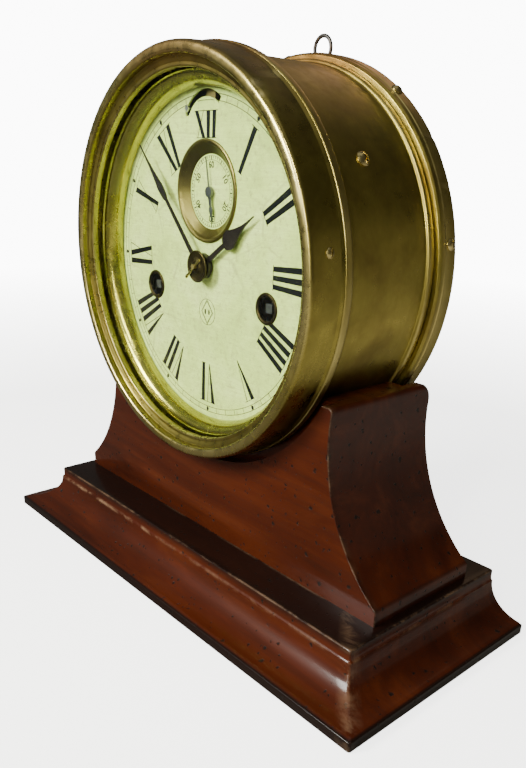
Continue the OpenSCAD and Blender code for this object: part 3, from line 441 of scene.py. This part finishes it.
# Bezel: a rolled front edge, a stepped lip over the glass, and a sleeve that holds the reflector
LIP_BACK = -33.5
SLEEVE_BACK = -29.6
HOLLOW_FRONT = -36.4


def bezel_push(a, r, y):
    d = waves(a, r, y)
    if r > 86:
        for at, place, width, depth, _ in BEZEL_DENTS:
            d += dent(a, y, at, place, width, depth)
    return d


def bezel_rub_and_glint(a, r, y):
    """Rubbed bright, with a painted highlight, on the front edge, on the lip beside the glass and round the
    dents.
    """
    worn = 0.55 * fade(y - rim, 1.6) + 0.5 * fade(math.hypot(r - 83.1, y - HOLLOW_FRONT), 1.3)
    worn *= 0.6 + 0.8 * noise.noise(Vector((math.sin(a) * 3, math.cos(a) * 3, y * 0.2)))
    if r > 88:
        for at, place, _, _, width in BEZEL_DENTS:
            worn -= dent(a, y, at, place, width, 0.9)
    return unit(worn)


bezel_profile = rounded([
    (94.0, seam - 0.1, 0.15), (93.2, seam - 1.6, 0.8), (92.8, rim + 6, 3), (92.4, rim, 2.9),
    (87.4, rim, 2.3), (87.2, rim + 3.7, 0.5), (86.0, rim + 4.0, 0.6), (84.6, rim + 4.6, 0.5),
    (82.7, rim + 4.5, 1.1), (82.8, LIP_BACK, 0.3),
    (86.5, LIP_BACK, 0.1), (86.5, SLEEVE_BACK, 0.1), (87.6, SLEEVE_BACK, 0.1),
    (87.8, HOLLOW_FRONT + 1.2, 0.3), (90.6, HOLLOW_FRONT, 0.5),
    (91.2, seam - 4, 0.5), (91.4, seam - 0.1, 0.1)], 7)
lathe("bezel_spun", bezel_profile, BEZEL, "bezel_door", ("bezel",), push=bezel_push, rub_and_glint=bezel_rub_and_glint)

# Barrel: a rolled front bead, a plain drum and a rear bead
barrel_profile = rounded([
    (89.6, seam, 0.1), (92.0, seam, 0.3), (94.4, seam, 2.1), (94.4, seam + 4.6, 2.2),
    (91.2, seam + 5.0, 1.2), (91.0, seam + 9, 0.5), (91.0, 32.0, 1.0), (92.75, 32.7, 1.5),
    (92.75, 36.0, 1.5), (91.1, 36.4, 0.2), (91.0, 47.0, 0.1), (89.6, 47.0, 0.1)], 8)


def barrel_push(a, r, y):
    return waves(a, r, y) if r > 90 else 0.0


def barrel_rub_and_glint(a, r, y):
    """Rubbed bright, with a painted highlight, on the crests of the front bead and of the rear bead."""
    on_rear = y > 30
    worn = 0.6 * max(0.0, r - 93.4) + 0.45 * max(0.0, (r - 92.0) / 0.8) * on_rear
    worn *= 0.55 + 0.9 * noise.noise(Vector((math.sin(a) * 4, math.cos(a) * 4, y * 0.1)))
    return unit(worn)


lathe("case_drum", barrel_profile, CASE, "clock", ("case_barrel",), push=barrel_push, rub_and_glint=barrel_rub_and_glint)


# Rear flange: a ring with one step, knocked about along its outer edge
def flange_push(a, r, y):
    d = waves(a, r, y)
    if r > 94:
        for at, place in FLANGE_DENTS:
            d += dent(a, y, at, place, 1.2, 0.35)
    return d


def flange_rub_and_glint(a, r, y):
    """Rubbed bright, with a painted highlight, on the step and round the knocks."""
    worn = 0.5 * fade(y - 40.2, 0.7)
    if r > 94:
        for at, place in FLANGE_DENTS:
            worn -= dent(a, y, at, place, 1.1, 0.8)
    return unit(worn)


flange_profile = rounded([
    (91.1, 36.5, 0.1), (94.6, 36.5, 0.6), (95.6, 37.6, 0.5), (95.6, 39.9, 0.25), (95.95, 40.4, 0.25),
    (95.95, back - 1.6, 1.4), (94.2, back, 1.0), (91.1, back, 0.1)], 6)
lathe("flange_spun", flange_profile, CASE, "clock", ("rear_flange",), push=flange_push, rub_and_glint=flange_rub_and_glint)

# Reflector: a polished ring that curves in from the glass to the dial
ring_lo, ring_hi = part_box("reflector_ring")
front = ring_lo.y / MM
deep = ring_hi.y / MM - front - 0.9
STEPS = 22
face = []
for i in range(STEPS + 1):
    turn = math.pi / 2 * i / STEPS
    face.append((82.0 - 5.4 * math.sin(turn), front + 0.9 + deep * (1 - math.cos(turn))))
shell = [(r + 1.0, y + 0.45 * (1 - i / STEPS)) for i, (r, y) in enumerate(face)]
lathe("reflector_spun", [(86.4, front + 1.2), (86.4, front), (82.4, front)] + face + shell[-2:0:-1],
      MIRROR, "bezel_door", ("reflector_ring",), push=lambda a, r, y: waves(a, r, y) * 0.7)


# ---- Dial fittings ----

dial_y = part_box("dial")[0].y / MM
lo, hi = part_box("seconds_ring")
sec = (0.0, (lo.z + hi.z) / 2 / MM - AXIS_Z)
sec_r = (hi.x - lo.x) / 2 / MM
lathe("seconds_rim", rounded([
    (sec_r, dial_y - 0.05, 0.1), (sec_r, dial_y - 0.6, 0.4), (sec_r - 0.8, dial_y - 0.95, 0.4),
    (sec_r - 1.7, dial_y - 0.7, 0.4), (sec_r - 2.7, dial_y + 0.25, 0.7), (16.7, dial_y + 2.6, 0.4),
    (16.4, dial_y + 2.95, 0.1), (17.4, dial_y + 2.95, 0.1), (sec_r - 2.4, dial_y + 1.5, 0.3),
    (sec_r - 1.6, dial_y + 0.8, 0.2), (sec_r - 1.6, dial_y - 0.05, 0.1)], 5),
    TRIM, "clock", ("seconds_ring",), centre=sec, segments=128)

lo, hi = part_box("winding_eyelets")
eye_x = hi.x / MM - 7.5
eye_z = (lo.z + hi.z) / 2 / MM - AXIS_Z
for side, x in (("right", eye_x), ("left", -eye_x)):
    lathe("winding_eyelet_" + side, rounded([
        (5.4, dial_y + 1.6, 0.1), (5.4, dial_y - 0.3, 0.3), (6.0, dial_y - 0.8, 0.4),
        (6.9, dial_y - 0.75, 0.4), (7.5, dial_y - 0.05, 0.15), (6.5, dial_y - 0.05, 0.05),
        (6.5, dial_y + 1.6, 0.1)], 5), BOSS, "clock", ("winding_eyelets",) if side == "right" else (),
        centre=(x, eye_z), segments=96)

lo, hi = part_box("hand_washer")
wy, wr = lo.y / MM, (hi.x - lo.x) / 2 / MM
back_y = hi.y / MM
lathe("hand_boss", rounded([
    (1.22, back_y, 0.05), (wr - 0.4, back_y, 0.1), (wr, back_y - 0.28, 0.15), (wr, back_y - 0.78, 0.15),
    (wr - 0.4, wy + 0.3, 0.3), (wr - 1.2, wy + 0.6, 0.6), (wr - 3.1, wy + 0.75, 0.6),
    (wr - 4.2, wy + 0.5, 0.3), (wr - 4.8, wy + 0.02, 0.2), (1.22, wy + 0.02, 0.1)], 5), BOSS,
    "centre_arbor", ("hand_washer",), segments=96)

# Hanging ring: a wire bent round by hand, so not quite even
lo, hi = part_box("hanging_ring")
middle = (lo + hi) / 2 / MM
ring_r = (hi.z - lo.z) / 2 / MM - 1.0
AROUND, ACROSS = 96, 20
bm = bmesh.new()
rows = []
for k in range(AROUND):
    a = 2 * math.pi * k / AROUND
    uneven = 0.10 * noise.noise(Vector((math.cos(a) * 1.3, math.sin(a) * 1.3, 4.0))) - 0.06
    row = []
    for j in range(ACROSS):
        b = 2 * math.pi * j / ACROSS
        w = 0.93 + 0.05 * noise.noise(Vector((a * 3, math.cos(b), math.sin(b))))
        r = ring_r + uneven + w * math.cos(b)
        place = (middle.x + r * math.sin(a), middle.y + w * math.sin(b), middle.z - r * math.cos(a))
        row.append(bm.verts.new(place))
    rows.append(row)
for one, two in zip(rows, rows[1:] + rows[:1]):
    for j in range(ACROSS):
        i = (j + 1) % ACROSS
        bm.faces.new((one[j], one[i], two[i], two[j]))
to_object("hanging_ring_wire", bm, IRON, "ring", ("hanging_ring",))


# ---- Dial print ----

SLOT_Z, SLOT_R, SLOT_HALF = 57.5, 17, 1.75  # regulator's slot: centre height, radius, half width
PRINT = 0.05  # how far the print stands proud of the dial
OVER = 0.004  # lifts a mark clear of the one it crosses
NO_OFFSET = (0, 0)


def in_slot(x, z):
    """Whether a point lies over the regulator's slot, where the dial can't carry print."""
    dz = z - SLOT_Z
    return abs(math.hypot(x, dz) - SLOT_R) < SLOT_HALF and -60 < math.degrees(math.atan2(x, dz)) < 38


def prism(bm, outline, y):
    """A thin raised mark on the dial from an outline of (x, z), given from the drum's centre."""
    if any(in_slot(x, z) for x, z in outline):
        return
    near = [bm.verts.new((x, y - PRINT, AXIS_Z + z)) for x, z in outline]
    far = [bm.verts.new((x, y, AXIS_Z + z)) for x, z in outline]
    bm.faces.new(near)
    bm.faces.new(far[::-1])
    for i in range(len(outline)):
        j = (i + 1) % len(outline)
        bm.faces.new((near[j], near[i], far[i], far[j]))


def circle(bm, centre, r, y, steps):
    turn = 2 * math.pi / steps
    return [bm.verts.new((centre[0] + r * math.sin(turn * k), y, AXIS_Z + centre[1] + r * math.cos(turn * k)))
            for k in range(steps)]


def annulus(bm, centre, r0, r1, y, steps=360):
    """A thin raised ring, left out where it would cross the regulator's slot."""
    loops = [circle(bm, centre, r, yy, steps)
             for r, yy in ((r0, y - PRINT), (r1, y - PRINT), (r1, y), (r0, y))]
    for one, two in zip(loops, loops[1:] + loops[:1]):
        for k in range(steps):
            j = (k + 1) % steps
            a = 2 * math.pi * (k + 0.5) / steps
            if not in_slot(centre[0] + r1 * math.sin(a), centre[1] + r1 * math.cos(a)):
                bm.faces.new((one[k], one[j], two[j], two[k]))


def spot(centre, deg, r, u):
    """The point at radius r and sideways offset u from the ray at deg, clockwise from the top."""
    a = math.radians(deg)
    return (centre[0] + r * math.sin(a) + u * math.cos(a), centre[1] + r * math.cos(a) - u * math.sin(a))


def mark(bm, centre, deg, r0, r1, half0, half1, y):
    """A stroke along the ray at deg from radius r0 to r1, of half widths half0 and half1."""
    prism(bm, [spot(centre, deg, r0, -half0), spot(centre, deg, r0, half0),
               spot(centre, deg, r1, half1), spot(centre, deg, r1, -half1)], y)


THICK, THIN, SERIF = 2.5, 0.32, 0.28
ADVANCE = {"I": 4.3, "V": 6.9, "X": 7.6}
NUMERALS = ("I", "II", "III", "IIII", "V", "VI", "VII", "VIII", "IX", "X", "XI", "XII")


def numeral(bm, text, deg, r0, r1, y):
    """Roman numeral with its foot towards the centre; strokes spread a little outwards."""
    total = sum(ADVANCE[ch] for ch in text)
    r_mid = (r0 + r1) / 2

    def spread(r):
        return 0.35 + 0.65 * r / r_mid

    def stroke(foot, head, foot_w, head_w):
        outline = []
        for r, u, w, ends in ((r0, foot, foot_w, (-1, 1)), (r1, head, head_w, (1, -1))):
            outline += [spot(NO_OFFSET, deg, r, (u + end * w / 2) * spread(r)) for end in ends]
        prism(bm, outline, y)

    def serif(u0, u1, r):
        k = spread(r)
        low, high = r - SERIF / 2, r + SERIF / 2
        prism(bm, [spot(NO_OFFSET, deg, low, u0 * k), spot(NO_OFFSET, deg, low, u1 * k),
                   spot(NO_OFFSET, deg, high, u1 * k), spot(NO_OFFSET, deg, high, u0 * k)], y + OVER)

    at = -total / 2
    for ch in text:
        u = at + ADVANCE[ch] / 2
        if ch == "I":
            stroke(u, u, THICK, THICK)
        elif ch == "V":
            stroke(u + 0.25, u - 2.0, 0.5, THICK)
            stroke(u + 0.25, u + 2.3, THIN, THIN)
        else:
            stroke(u + 2.4, u - 2.4, THICK, THICK)
            stroke(u - 2.5, u + 2.5, THIN, THIN)
        at += ADVANCE[ch]
    # A V stands on its point, so the serif at the foot stops short of it
    foot_start = -total / 2 + (ADVANCE["V"] if text.startswith("V") else 0) + 0.2
    foot_end = total / 2 - (ADVANCE["V"] if text.endswith("V") else 0) - 0.2
    if foot_end - foot_start > 1:
        serif(foot_start, foot_end, r0)
    serif(-total / 2 - 0.1, total / 2 + 0.1, r1)


bm = bmesh.new()
for hour, text in enumerate(NUMERALS, 1):
    # XII is shorter, to clear the seconds dial and the regulator's slot
    low, high = (56.2, 67.2) if hour == 12 else (48.5, 69.0)
    numeral(bm, text, hour * 30, low, high, dial_y)
annulus(bm, NO_OFFSET, 71.3, 71.55, dial_y)
annulus(bm, NO_OFFSET, 74.0, 74.25, dial_y)
for minute in range(60):
    mark(bm, NO_OFFSET, minute * 6, 71.5, 74.05, 0.11, 0.11, dial_y + OVER)
    if minute % 5 == 0:
        bead = [spot(NO_OFFSET, minute * 6, 72.8 + 1.15 * math.cos(k * math.pi / 4),
                     0.95 * math.sin(k * math.pi / 4)) for k in range(8)]
        prism(bm, bead, dial_y - OVER)

# Small ornament below the centre: a double lozenge in a ring, with two plain leaves
ORNAMENT = (0.0, -22.3)
annulus(bm, ORNAMENT, 6.25, 6.5, dial_y, steps=72)
for size in (6.2, 5.5):
    tips = [Vector(p) for p in ((0, size), (size * 0.74, 0), (0, -size), (-size * 0.74, 0))]
    for p, q in zip(tips, tips[1:] + tips[:1]):
        w = (q - p).orthogonal().normalized() * 0.11
        side_line = [(ORNAMENT[0] + v.x, ORNAMENT[1] + v.y) for v in (p - w, q - w, q + w, p + w)]
        prism(bm, side_line, dial_y + OVER)
for x in (-1.5, 1.5):
    leaf = [(ORNAMENT[0] + x + 0.62 * math.cos(k * math.pi / 6),
             ORNAMENT[1] + 1.4 * math.sin(k * math.pi / 6)) for k in range(12)]
    prism(bm, leaf, dial_y)
to_object("dial_print", bm, INK, "clock", smooth=1)

# Seconds dial: a track of sixty marks and a figure every ten
sec_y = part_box("seconds_dial")[0].y / MM
bm = bmesh.new()
annulus(bm, sec, 15.6, 15.75, sec_y, steps=96)
annulus(bm, sec, 13.85, 14.0, sec_y, steps=96)
for second in range(60):
    inner, half_w = (13.95, 0.26) if second % 5 == 0 else (14.6, 0.14)
    mark(bm, sec, second * 6, inner, 15.65, half_w, half_w, sec_y + OVER)


def figure(text, deg):
    """A figure on the seconds dial, upright along the ray at deg."""
    curve = bpy.data.curves.new("digits", "FONT")
    curve.body = text
    curve.size = 4.1
    curve.offset = 0.07
    curve.align_x = "CENTER"
    curve.align_y = "CENTER"
    curve.extrude = 0.025
    curve.resolution_u = 3
    temp = bpy.data.objects.new("digits", curve)
    bpy.context.scene.collection.objects.link(temp)
    bpy.context.view_layer.update()
    mesh = bpy.data.meshes.new_from_object(temp)
    place = (Matrix.Translation((sec[0], sec_y - 0.022, AXIS_Z + sec[1]))
             @ Matrix.Rotation(math.radians(deg), 4, "Y") @ Matrix.Translation((0, 0, 11.7))
             @ Matrix.Rotation(math.radians(90), 4, "X"))
    mesh.transform(place)
    bm.from_mesh(mesh)
    bpy.data.objects.remove(temp)
    bpy.data.meshes.remove(mesh)
    bpy.data.curves.remove(curve)


for k, text in enumerate(("60", "10", "20", "30", "40", "50")):
    figure(text, 60 * k)
to_object("seconds_print", bm, INK, "clock", smooth=1)


# ---- Wooden base ----

# Plinth: a moulding of lip, cove, fillet and rounded top edge, run round the left, front and right
lo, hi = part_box("plinth")
back_y, top_z = hi.y / MM, hi.z / MM
OUT = 21.5  # how far the lip stands out past the upper face
LIP_TOP = 5.9
COVE_TOP = 22.4
TOP_EDGE = 1.1
half, face_y = hi.x / MM - OUT, lo.y / MM + OUT


def cove(t):
    turn = math.pi / 2 * t
    return (OUT - (OUT - 1.0) * math.sin(turn), LIP_TOP + (COVE_TOP - LIP_TOP) * (1 - math.cos(turn)))


# Each point is (offset out from the upper face, height)
section = rounded([(OUT - 0.5, 0.0, 0.0), (OUT, 0.5, 0.3), (OUT, 5.3, 0.7), (OUT - 0.9, 5.75, 0.2)], 4)
section = [(OUT - 0.6, 0.0)] + section[1:] + [cove(i / 18) for i in range(1, 19)]
section += [(0.45, 22.9), (0.1, 23.6), (0.0, 24.6)]
for i in range(7):
    turn = math.pi / 2 * i / 6
    section.append((TOP_EDGE * (math.cos(turn) - 1), top_z + TOP_EDGE * (math.sin(turn) - 1)))
section += [(-4.0, top_z), (-20.0, top_z)]


def station(d):
    """Points round the left, front and right of the plinth at offset d from its upper face."""
    r = 1.3 if d > 0 else 0.9
    x_out, y_out = half + d, face_y - d
    turns = [math.pi / 2 * i / 6 for i in range(1, 7)]
    run = back_y - y_out - r
    pts = [(-x_out, back_y - run * i / 16) for i in range(17)]
    pts += [(-x_out + r - r * math.cos(t), y_out + r - r * math.sin(t)) for t in turns]
    pts += [(-x_out + r + 2 * (x_out - r) * i / 40, y_out) for i in range(1, 41)]
    pts += [(x_out - r + r * math.sin(t), y_out + r - r * math.cos(t)) for t in turns]
    pts += [(x_out, y_out + r + run * i / 16) for i in range(1, 17)]
    return pts


bm = bmesh.new()
edge = bm.verts.layers.float.new("edge")
wear_and_sheen = bm.verts.layers.float.new("wear_and_sheen")
grid = []
for d, z in section:
    row = []
    for x, y in station(d):
        v = bm.verts.new((x, y, z))
        near_top = fade(math.hypot(d + 0.4, z - top_z + 0.4), 2.2)
        on_lip = z < LIP_TOP
        on_top = z > top_z - 0.05
        v[edge] = unit(near_top + 0.95 * on_lip + 0.9 * on_top)
        # Painted highlight: a pale line along the cove's upper crease, stronger on the left half
        crease_highlight = fade(z - 22.3, 1.2) * (1.0 if x < -10 else 0.45)
        on_corner = x > half + d - 1.4 and y < face_y - d + 1.4
        arris = fade(math.hypot(d + 0.3, z - top_z + 0.3), 0.9)
        v[wear_and_sheen] = unit(crease_highlight + 0.4 * on_corner + 0.5 * arris)
        row.append(v)
    grid.append(row)
for one, two in zip(grid, grid[1:]):
    for i in range(len(one) - 1):
        bm.faces.new((one[i], one[i + 1], two[i + 1], two[i]))
bm.faces.new(grid[-1])
bm.faces.new(grid[0][::-1])
bm.faces.new([row[0] for row in grid] + [row[-1] for row in reversed(grid)])
to_object("plinth_moulded", bm, WOOD, "clock", ("plinth",), 40)

# Saddle: a block with concave sides, cut by the drum's cradle and rounded over at the back
lo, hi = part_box("saddle")
s_half, s_front, s_back = hi.x / MM, lo.y / MM, hi.y / MM
foot, tip = lo.z / MM, hi.z / MM
ARC_X, ARC_Z, ARC_R = 181.3, 108.2, 90.9  # the concave side's arc
CRADLE_R = 91.2  # close round the drum
CLEAR_R = 98.5  # wider, round the bezel and the flange
CLEAR_FRONT, CLEAR_BACK = 8, 55.4  # depths behind the saddle's front where the cradle is close
BEVEL = 0.7
BACK_ROUND = 6.5


def side_x(z):
    """Half width of the concave side at a height."""
    return ARC_X - math.sqrt(ARC_R ** 2 - (z - ARC_Z) ** 2)


def saddle_loop(inset, radius, top):
    """The saddle's outline as (x, z): feet, concave sides, arm tips and the cradle between."""
    right = [(s_half - inset, foot), (s_half - inset, foot + 7.2), (s_half - 0.5 - inset, foot + 7.8),
             (side_x(foot + 8.4) + 0.3 - inset, foot + 8.2)]
    heights = [foot + 9 + (top - 2.4 - foot - 9) * i / 40 for i in range(41)]
    right += [(side_x(z) - inset, z) for z in heights]
    x_top = side_x(top - 2.4)
    right += [(x_top - 0.25 - inset, top - 1.3), (x_top - 0.9 - inset, top - 0.5 - inset * 0.5),
              (x_top - 1.9 - inset, top - inset)]
    x_in = math.sqrt(radius ** 2 - (AXIS_Z - top) ** 2)
    right += [(x_in + 0.3, top - inset)]
    start = math.atan2(x_in, AXIS_Z - top)
    steps = 72
    turns = [start - 2 * start * i / steps for i in range(steps + 1)]
    arc = [(radius * math.sin(t), AXIS_Z - radius * math.cos(t)) for t in turns]
    left = [(-x, z) for x, z in reversed(right)]
    return right + arc + left


def top_at(y):
    """Height of the arm tips, which round over towards the back."""
    past = max(0.0, y - (s_back - BACK_ROUND))
    return tip - (BACK_ROUND - math.sqrt(max(0.0, BACK_ROUND ** 2 - past ** 2)))


# Each layer is (depth, inset of the outline, cradle radius)
layers = []
for i in range(5):
    turn = math.pi / 2 * i / 4
    layers.append((s_front + BEVEL * (1 - math.cos(turn)), BEVEL * (1 - math.sin(turn)), CLEAR_R))
layers += [(s_front + 4, 0, CLEAR_R), (s_front + CLEAR_FRONT, 0, CLEAR_R)]
layers += [(s_front + CLEAR_FRONT + (CLEAR_BACK - CLEAR_FRONT) * i / 8, 0, CRADLE_R) for i in range(9)]
layers += [(s_front + CLEAR_BACK, 0, CLEAR_R)]
rest = s_back - s_front - CLEAR_BACK
layers += [(s_front + CLEAR_BACK + rest * math.sin(math.pi / 2 * i / 12), 0, CLEAR_R) for i in range(1, 13)]

bm = bmesh.new()
edge = bm.verts.layers.float.new("edge")
wear_and_sheen = bm.verts.layers.float.new("wear_and_sheen")
grid = []
for y, inset, radius in layers:
    behind = y - s_front
    on_arris = behind > 0.01
    row = []
    for x, z in saddle_loop(inset, radius, top_at(y)):
        v = bm.verts.new((x, y, z))
        outer = 1.0 if abs(x) > 80 or z > 60 else 0.3
        # Painted shade: darker in the crease under the concave side and along the foot where it meets the
        # plinth
        foot_shade = 0.5 * fade(z - foot - 8, 1.0) + 0.6 * max(0.0, 1 - (z - foot) / 1.5)
        v[edge] = on_arris * min(1.0, 0.7 * outer * fade(behind - 0.2, 1.2) + foot_shade)
        v[wear_and_sheen] = on_arris * 0.55 * fade(behind - 0.3, 0.5)
        row.append(v)
    grid.append(row)
for one, two in zip(grid, grid[1:]):
    for i in range(len(one)):
        j = (i + 1) % len(one)
        bm.faces.new((one[i], one[j], two[j], two[i]))
bm.faces.new(grid[0][::-1])
bm.faces.new(grid[-1])
bmesh.ops.remove_doubles(bm, verts=bm.verts[:], dist=0.0004)
to_object("saddle_shaped", bm, WOOD, "clock", ("saddle",), 40)


# ---- Better materials for the CAD nodes that stay ----

LOOKS = {
    "glass": GLASS, "dial": DIAL, "seconds_dial": DIAL,
    "hour_hand": BLACK, "minute_hand": BLACK, "seconds_hand": GREY,
    "taper_pin": SCREW, "flange_screws": SCREW, "barrel_screws": SCREW, "catch_screw": SCREW,
    "bezel_hinge_leaf": CASE, "case_hinge_leaf": CASE, "ring_staple": IRON,
    "back_cover": DULL, "mounting_ring": DULL, "dial_feet": DULL,
    "regulator_lever": STEEL, "time_arbor": GREY, "strike_arbor": GREY}
BY_SLOT = {"mahogany": WOOD, "case_brass": CASE, "dull_brass": DULL, "movement_brass": WORKS,
           "clear_glass": GLASS, "dial_enamel": DIAL, "blackened_steel": BLACK, "dark_iron": IRON,
           "bright_steel": STEEL}
SLOT_OF = {part["node"]: part["material_slot"] for part in frame["record"]["subparts"]}
for name, obj in frame["nodes"].items():
    look = LOOKS.get(name) or BY_SLOT[SLOT_OF[name]]
    if not obj.data.materials:
        obj.data.materials.append(look)
    for i in range(len(obj.data.materials)):
        obj.data.materials[i] = look


# ---- Studio ----

# The camera sees a pale floor that fades into the pale backdrop. All other rays see a darker floor,
# brighter towards the back right, so that the brass and the varnish have something to reflect.
FLOOR_R = 6
PALE_LIGHT = 3.2
DARK_SIDE = rgb(0.1, 0.095, 0.09)
BRIGHT_SIDE = rgb(0.62, 0.6, 0.56)


def floor_look():
    s = Shader("floor_pale")
    pale = s.ramp(s.noise(3, 3), (0.3, rgb(0.88, 0.88, 0.87)), (0.8, rgb(0.92, 0.92, 0.91)))
    s.set(Base_Color=pale, Roughness=0.6)
    lift = s.node("ShaderNodeEmission")
    lift.inputs[0].default_value = rgb(1.0, 1.0, 0.99)
    lift.inputs[1].default_value = PALE_LIGHT
    lit = s.node("ShaderNodeAddShader")
    s.put(lit.inputs[0], s.bsdf.outputs[0])
    s.put(lit.inputs[1], lift.outputs[0])
    far = s.node("ShaderNodeVectorMath", operation="LENGTH")
    s.put(far.inputs[0], s.coord)
    distance = s.ramp(s.math("MULTIPLY", far.outputs["Value"], 0.5), (0.2, 0.0), (0.7, 1.0))
    seen = s.shaders(distance, lit.outputs[0], s.node("ShaderNodeBsdfTransparent").outputs[0])
    side = s.math("SUBTRACT", s.math("MULTIPLY", s.axis(0), 0.9), s.math("MULTIPLY", s.axis(1), -0.35))
    bounce = s.node("ShaderNodeBsdfDiffuse")
    s.put(bounce.inputs[0], s.ramp(s.math("MAXIMUM", side, 0.0), (0.0, DARK_SIDE), (0.35, BRIGHT_SIDE)))
    path = s.node("ShaderNodeLightPath")
    s.put(s.out.inputs[0], s.shaders(path.outputs["Is Camera Ray"], bounce.outputs[0], seen))
    return s.mat


bm = bmesh.new()
rim_angles = [2 * math.pi * i / 96 for i in range(96)]
bm.faces.new([bm.verts.new((FLOOR_R * math.cos(a), FLOOR_R * math.sin(a), -0.0004)) for a in rim_angles])
mesh = bpy.data.meshes.new("floor")
bm.to_mesh(mesh)
bm.free()
mesh.materials.append(floor_look())
floor = bpy.data.objects.new("floor", mesh)
bpy.context.scene.collection.objects.link(floor)


def studio_world():
    """A bright backdrop for the camera, and a dim room, lighter at the front left, for all else."""
    world = bpy.data.worlds.new("studio")
    world.use_nodes = True
    tree = world.node_tree
    tree.nodes.clear()
    kinds = ("OutputWorld", "MixShader", "LightPath", "Background", "Background", "TexCoord",
             "VectorMath", "Math", "ValToRGB")
    out, split, path, backdrop, room, coord, toward, half_up, shade = [
        tree.nodes.new("ShaderNode" + kind) for kind in kinds]
    toward.operation = "DOT_PRODUCT"
    toward.inputs[1].default_value = (-0.55, -0.75, 0.37)
    half_up.operation = "MULTIPLY_ADD"
    half_up.inputs[1].default_value = 0.5
    half_up.inputs[2].default_value = 0.5
    dim, light = shade.color_ramp.elements
    dim.position, light.position = 0.3, 0.85
    dim.color, light.color = rgb(0.085, 0.078, 0.06), rgb(0.15, 0.165, 0.16)
    room.inputs[1].default_value = 1.0
    backdrop.inputs[0].default_value = rgb(1, 1, 1)
    backdrop.inputs[1].default_value = 11.0
    for source, target in (
            (coord.outputs["Generated"], toward.inputs[0]), (toward.outputs["Value"], half_up.inputs[0]),
            (half_up.outputs[0], shade.inputs[0]), (shade.outputs[0], room.inputs[0]),
            (path.outputs["Is Camera Ray"], split.inputs[0]), (room.outputs[0], split.inputs[1]),
            (backdrop.outputs[0], split.inputs[2]), (split.outputs[0], out.inputs[0])):
        tree.links.new(source, target)
    return world


bpy.context.scene.world = studio_world()


def softbox(name, place, aim, size, power, colour=(1, 1, 1)):
    """A rectangular light of size (across, up) in metres, turned to face aim."""
    light = bpy.data.lights.new(name, "AREA")
    light.shape = "RECTANGLE"
    light.size, light.size_y = size
    light.energy = power
    light.color = colour
    obj = bpy.data.objects.new(name, light)
    obj.location = place
    obj.rotation_euler = (Vector(aim) - Vector(place)).to_track_quat("-Z", "Y").to_euler()
    bpy.context.scene.collection.objects.link(obj)


softbox("key", (-0.42, -1.3, 0.86), (0, 0, 0.16), (0.5, 0.5), 46, (1.0, 1.0, 0.94))
softbox("front_right", (0.5, -1.05, 0.75), (0, 0, 0.17), (0.12, 0.9), 17, (1.0, 0.96, 0.82))
softbox("low_right", (1.15, 0.75, 0.2), (0.05, 0, 0.17), (1.0, 0.8), 0.6, (1.0, 0.93, 0.8))
softbox("warm_back", (-0.42, 0.95, 0.85), (0, 0, 0.2), (0.5, 0.4), 0.6, (1.0, 0.62, 0.36))
softbox("top", (0.1, 0.1, 1.5), (0, 0, 0.1), (0.9, 0.9), 1.2)


# ---- Camera ----

# Three-quarter view from above the front right, as in the photo. The shift frames the object.
LENS, SENSOR = 33.405, 36
SHIFT = (-0.004245, 0.141237)
PLACE = (290.9, -241.25, 215.7)
AZIMUTH, ELEVATION, ROLL = [math.radians(deg) for deg in (47.75, 24.36, 1.8)]

cam_data = bpy.data.cameras.new("camera")
cam_data.sensor_width = SENSOR
cam_data.sensor_fit = "AUTO"
cam_data.lens = LENS
cam_data.shift_x, cam_data.shift_y = SHIFT
cam_data.clip_start = 0.01
behind = Vector((math.sin(AZIMUTH) * math.cos(ELEVATION), -math.cos(AZIMUTH) * math.cos(ELEVATION),
                 math.sin(ELEVATION)))
right = Vector((math.cos(AZIMUTH), math.sin(AZIMUTH), 0))
up = behind.cross(right)
cam_x = math.cos(ROLL) * right + math.sin(ROLL) * up
cam_y = -math.sin(ROLL) * right + math.cos(ROLL) * up
pose = Matrix((cam_x, cam_y, behind)).transposed().to_4x4()
pose.translation = Vector(PLACE) * MM
camera = bpy.data.objects.new("camera", cam_data)
camera.matrix_world = pose
bpy.context.scene.collection.objects.link(camera)
bpy.context.scene.camera = camera
